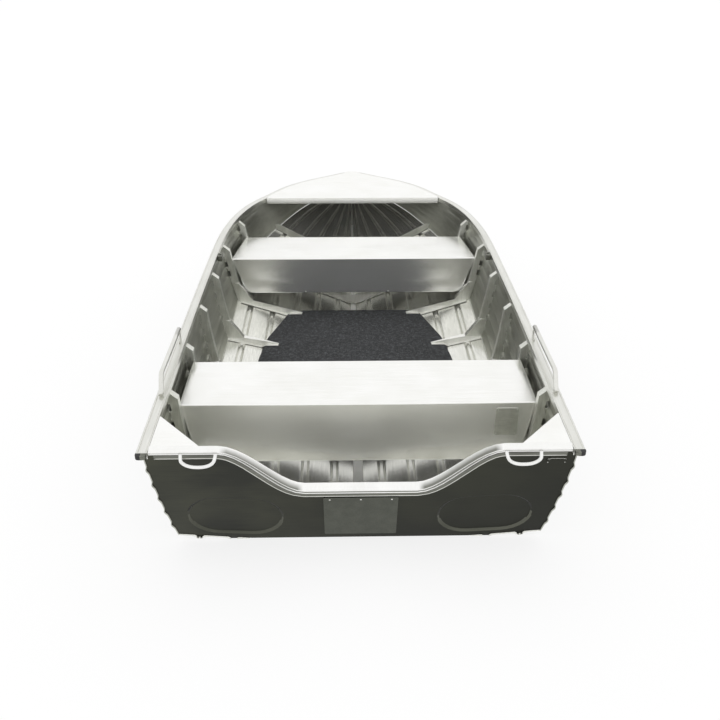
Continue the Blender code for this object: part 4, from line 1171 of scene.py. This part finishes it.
def makeKneeWelds(side, sign):
    # a bright weld across each rib's foot, where it meets the knee
    bm = bmesh.new()
    for index in ribNumbers:
        low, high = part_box("sideRib" + str(index) + side)
        inner = high[0] if sign < 0.0 else low[0]
        place = Vector((inner + sign * kneeWeld["inset"], low[1], low[2]))
        addBead(bm, place, starboard, -ahead, kneeWeld)
    addPiece("kneeWelds" + side, bm, weldMetal)


makeFeet()
for side, sign in sides:
    makeStitches(side, sign)
    makeKneeWelds(side, sign)

rivets = {
    "radius": 3.2 * mm,
    "height": 1.5 * mm,
    "padInset": 12.5 * mm,
    "padPlaces": (-0.106, 0.0, 0.106),
    "plateInset": 7.0 * mm,
    "plateRadius": 2.2 * mm,
    "plateHeight": 1.2 * mm,
    "tagInset": (5.0 * mm, 4.0 * mm),
    "tagRadius": 1.8 * mm,
    "tagHeight": 1.0 * mm,
    "seatPlaces": (-0.262, 0.186),
    "seatInset": 9.0 * mm,
}


def rivetOn(bm, node, x, z, radius, height):
    # a head where a ray from aft meets the node
    start = Vector((x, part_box(node)[0][1] - clear, z))
    hit, normal = surfaceTree(node).ray_cast(start, ahead)[:2]
    if hit is not None:
        addDome(bm, hit, normal, radius, height)


def makeRivets():
    bm = bmesh.new()
    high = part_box("outboardPadOuter")[1]
    for x in rivets["padPlaces"]:
        rivetOn(bm, "outboardPadOuter", x, high[2] - rivets["padInset"], rivets["radius"], rivets["height"])
    low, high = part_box("capacityPlate")
    inset = rivets["plateInset"]
    for x in (low[0] + inset, high[0] - inset):
        for z in (low[2] + inset, high[2] - inset):
            addDome(bm, Vector((x, low[1], z)), -ahead, rivets["plateRadius"], rivets["plateHeight"])
    low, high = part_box("smallTag")
    across, up = rivets["tagInset"]
    for x in (low[0] + across, high[0] - across):
        rivetOn(bm, "smallTag", x, low[2] + up, rivets["tagRadius"], rivets["tagHeight"])
    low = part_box("forwardSeat")[0]
    for x in rivets["seatPlaces"]:
        rivetOn(bm, "forwardSeat", x, low[2] + rivets["seatInset"], rivets["radius"], rivets["height"])
    addPiece("rivetHeads", bm, weldMetal)


makeRivets()

seam = {
    "radius": 1.3 * mm,
    "from": 0.02,  # share of the deck's length
    "to": 0.97,
    "steps": 48,
    "lift": 0.5 * mm,
    "scan": 1.0 * mm,
    "sides": 8,
}
thinEdge = {
    "sides": 8,
    "radius": 0.9 * mm,
    "steps": 24,
    "inset": 2.0 * mm,
    "scan": 0.5 * mm,
}


def makeThinEdges():
    # the bright sheared upper edge of the plate and the tag
    bm = bmesh.new()
    for node in ("capacityPlate", "smallTag"):
        low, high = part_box(node)
        body = surfaceTree(node)
        line = []
        for i in range(thinEdge["steps"] + 1):
            inset = thinEdge["inset"]
            x = low[0] + inset + (high[0] - low[0] - 2.0 * inset) * i / thinEdge["steps"]
            z = high[2]
            while z > low[2]:
                hit = body.ray_cast(Vector((x, low[1] - clear, z)), ahead)[0]
                if hit is not None:
                    line.append(hit)
                    break
                z -= thinEdge["scan"]
        sweepTube(bm, line, thinEdge["radius"], thinEdge["sides"])
    addPiece("shearedEdges", bm, weldMetal)


def makeSeam():
    # a thin dark tube in the under-deck painted shade, standing for the shadow line where the deck sheet's
    # edge lies on the gunwale
    deck = surfaceTree("foredeck")
    low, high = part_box("foredeck")
    top = high[2] + clear
    bm = bmesh.new()
    for side, sign in sides:
        rim = surfaceTree("gunwale" + side)
        line = []
        for i in range(seam["steps"] + 1):
            share = seam["from"] + (seam["to"] - seam["from"]) * i / seam["steps"]
            y = low[1] + (high[1] - low[1]) * share
            x = high[0]
            while x > 0.0 and deck.ray_cast(Vector((sign * x, y, top)), -upward)[0] is None:
                x -= seam["scan"]
            hit = rim.ray_cast(Vector((sign * (x + seam["radius"]), y, top)), -upward)[0]
            if hit is not None:
                line.append(hit + upward * seam["lift"])
        sweepTube(bm, line, seam["radius"], seam["sides"])
    addPiece("deckSeamShadowLine", bm, shadedUnderDeck)


makeThinEdges()
makeSeam()
print("rivets and welds made")


water = {
    "reach": 40.0,
    "colour": "FAFAFA",
    "roughness": 0.9,
    "whiteShare": 0.78,  # of the white that mirrors and the camera see
    "stations": 220,
    "scanFrom": 700.0 * mm,
    "scanTo": 3.0 * mm,
    "scanTop": 600.0 * mm,
    "scan": 1.0 * mm,
    "inSheet": 1.0 * mm,
    "inTransom": 1.5 * mm,
    "transomAt": 200.0 * mm,
    "sternStations": 5,  # the first few may miss the bottom sheet
}


def seenDirectly(tree):
    # 1 for rays from the camera, a mirror or a clear body, 0 for light on its way to a dull surface
    rays = addNode(tree, "ShaderNodeLightPath")
    mirrored = addNode(
        tree, "ShaderNodeMath", {"operation": "MAXIMUM"},
        {0: rays.outputs["Is Camera Ray"], 1: rays.outputs["Is Glossy Ray"]},
    )
    seen = addNode(
        tree, "ShaderNodeMath", {"operation": "MAXIMUM"},
        {0: mirrored.outputs[0], 1: rays.outputs["Is Transmission Ray"]},
    )
    return seen.outputs[0]


def waterlineHalf(side, sign):
    # points inside the bottom sheet's thickness where it passes the floor's level, from aft
    bottom = surfaceTree("hullBottom" + side)
    start = Vector((water["transomAt"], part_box("transomPanel")[0][1] - clear, 0.0))
    aft = surfaceTree("transomPanel").ray_cast(start, ahead)[0].y + water["inTransom"]
    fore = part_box("hullBottomPort")[1][1]
    points = []
    for i in range(water["stations"] + 1):
        y = aft + (fore - aft) * (i / water["stations"])
        x = water["scanFrom"]
        found = 0.0
        while x > water["scanTo"]:
            hit = bottom.ray_cast(Vector((sign * x, y, water["scanTop"])), -upward)[0]
            if hit is not None and hit.z < water["inSheet"]:
                found = x
                break
            x -= water["scan"]
        if found == 0.0 and i > water["sternStations"]:
            break
        points.append(Vector((sign * found, y, 0.0)))
    return points


def makeFloor():
    # the floor is open where the hull sits in it, so that it doesn't show inside the boat
    port, starboardHalf = (waterlineHalf(side, sign) for side, sign in sides)
    bm = bmesh.new()
    far = water["reach"]
    corners = [Vector((x, y, 0.0)) for x, y in ((-far, -far), (far, -far), (far, far), (-far, far))]
    edges = []
    for loop in (starboardHalf + list(reversed(port)), corners):
        edges += ringEdges(bm, [bm.verts.new(point) for point in loop])
    bmesh.ops.triangle_fill(bm, use_beauty=True, use_dissolve=False, edges=edges, normal=upward)
    data = bpy.data.meshes.new("studioFloor")
    bm.to_mesh(data)
    bm.free()
    floor = bpy.data.objects.new("studioFloor", data)
    scene.collection.objects.link(floor)
    # matt pale sheet that fades to the background's white and keeps the boat's shadow
    material, tree, shader = startMaterial("paleFloor", 0.0, water["roughness"])[:3]
    shader.inputs["Base Color"].default_value = linear(water["colour"])
    shader.inputs["Specular IOR Level"].default_value = 0.0
    share = addNode(
        tree, "ShaderNodeMath",
        {"operation": "MULTIPLY", 1: water["whiteShare"]}, {0: seenDirectly(tree)},
    )
    white = addNode(tree, "ShaderNodeEmission", {"Color": (1.0, 1.0, 1.0, 1.0), "Strength": 1.0})
    mix = addNode(
        tree, "ShaderNodeMixShader", None,
        {0: share.outputs[0], 1: shader.outputs["BSDF"], 2: white.outputs["Emission"]},
    )
    tree.links.new(mix.outputs["Shader"], tree.nodes["Material Output"].inputs["Surface"])
    data.materials.append(material)


makeFloor()

studio = {
    "horizon": 0.80,  # light on dull surfaces; what is seen directly stays at 1
    "zenith": 1.22,
}


def makeWorld():
    world = bpy.data.worlds.new("studio")
    scene.world = world
    world.use_nodes = True
    tree = world.node_tree
    background = tree.nodes["Background"]
    place = addNode(tree, "ShaderNodeTexCoord").outputs["Generated"]
    split = addNode(tree, "ShaderNodeSeparateXYZ", None, {"Vector": place})
    level = addNode(
        tree, "ShaderNodeMapRange",
        {"To Min": studio["horizon"], "To Max": studio["zenith"]}, {"Value": split.outputs["Z"]},
    )
    strength = addNode(
        tree, "ShaderNodeMix", {"data_type": "FLOAT", 3: 1.0},
        {0: seenDirectly(tree), 2: level.outputs["Result"]},
    )
    background.inputs["Color"].default_value = (1.0, 1.0, 1.0, 1.0)
    tree.links.new(strength.outputs[0], background.inputs["Strength"])
    scene.view_settings.view_transform = "Standard"


makeWorld()
print("floor and light ready")
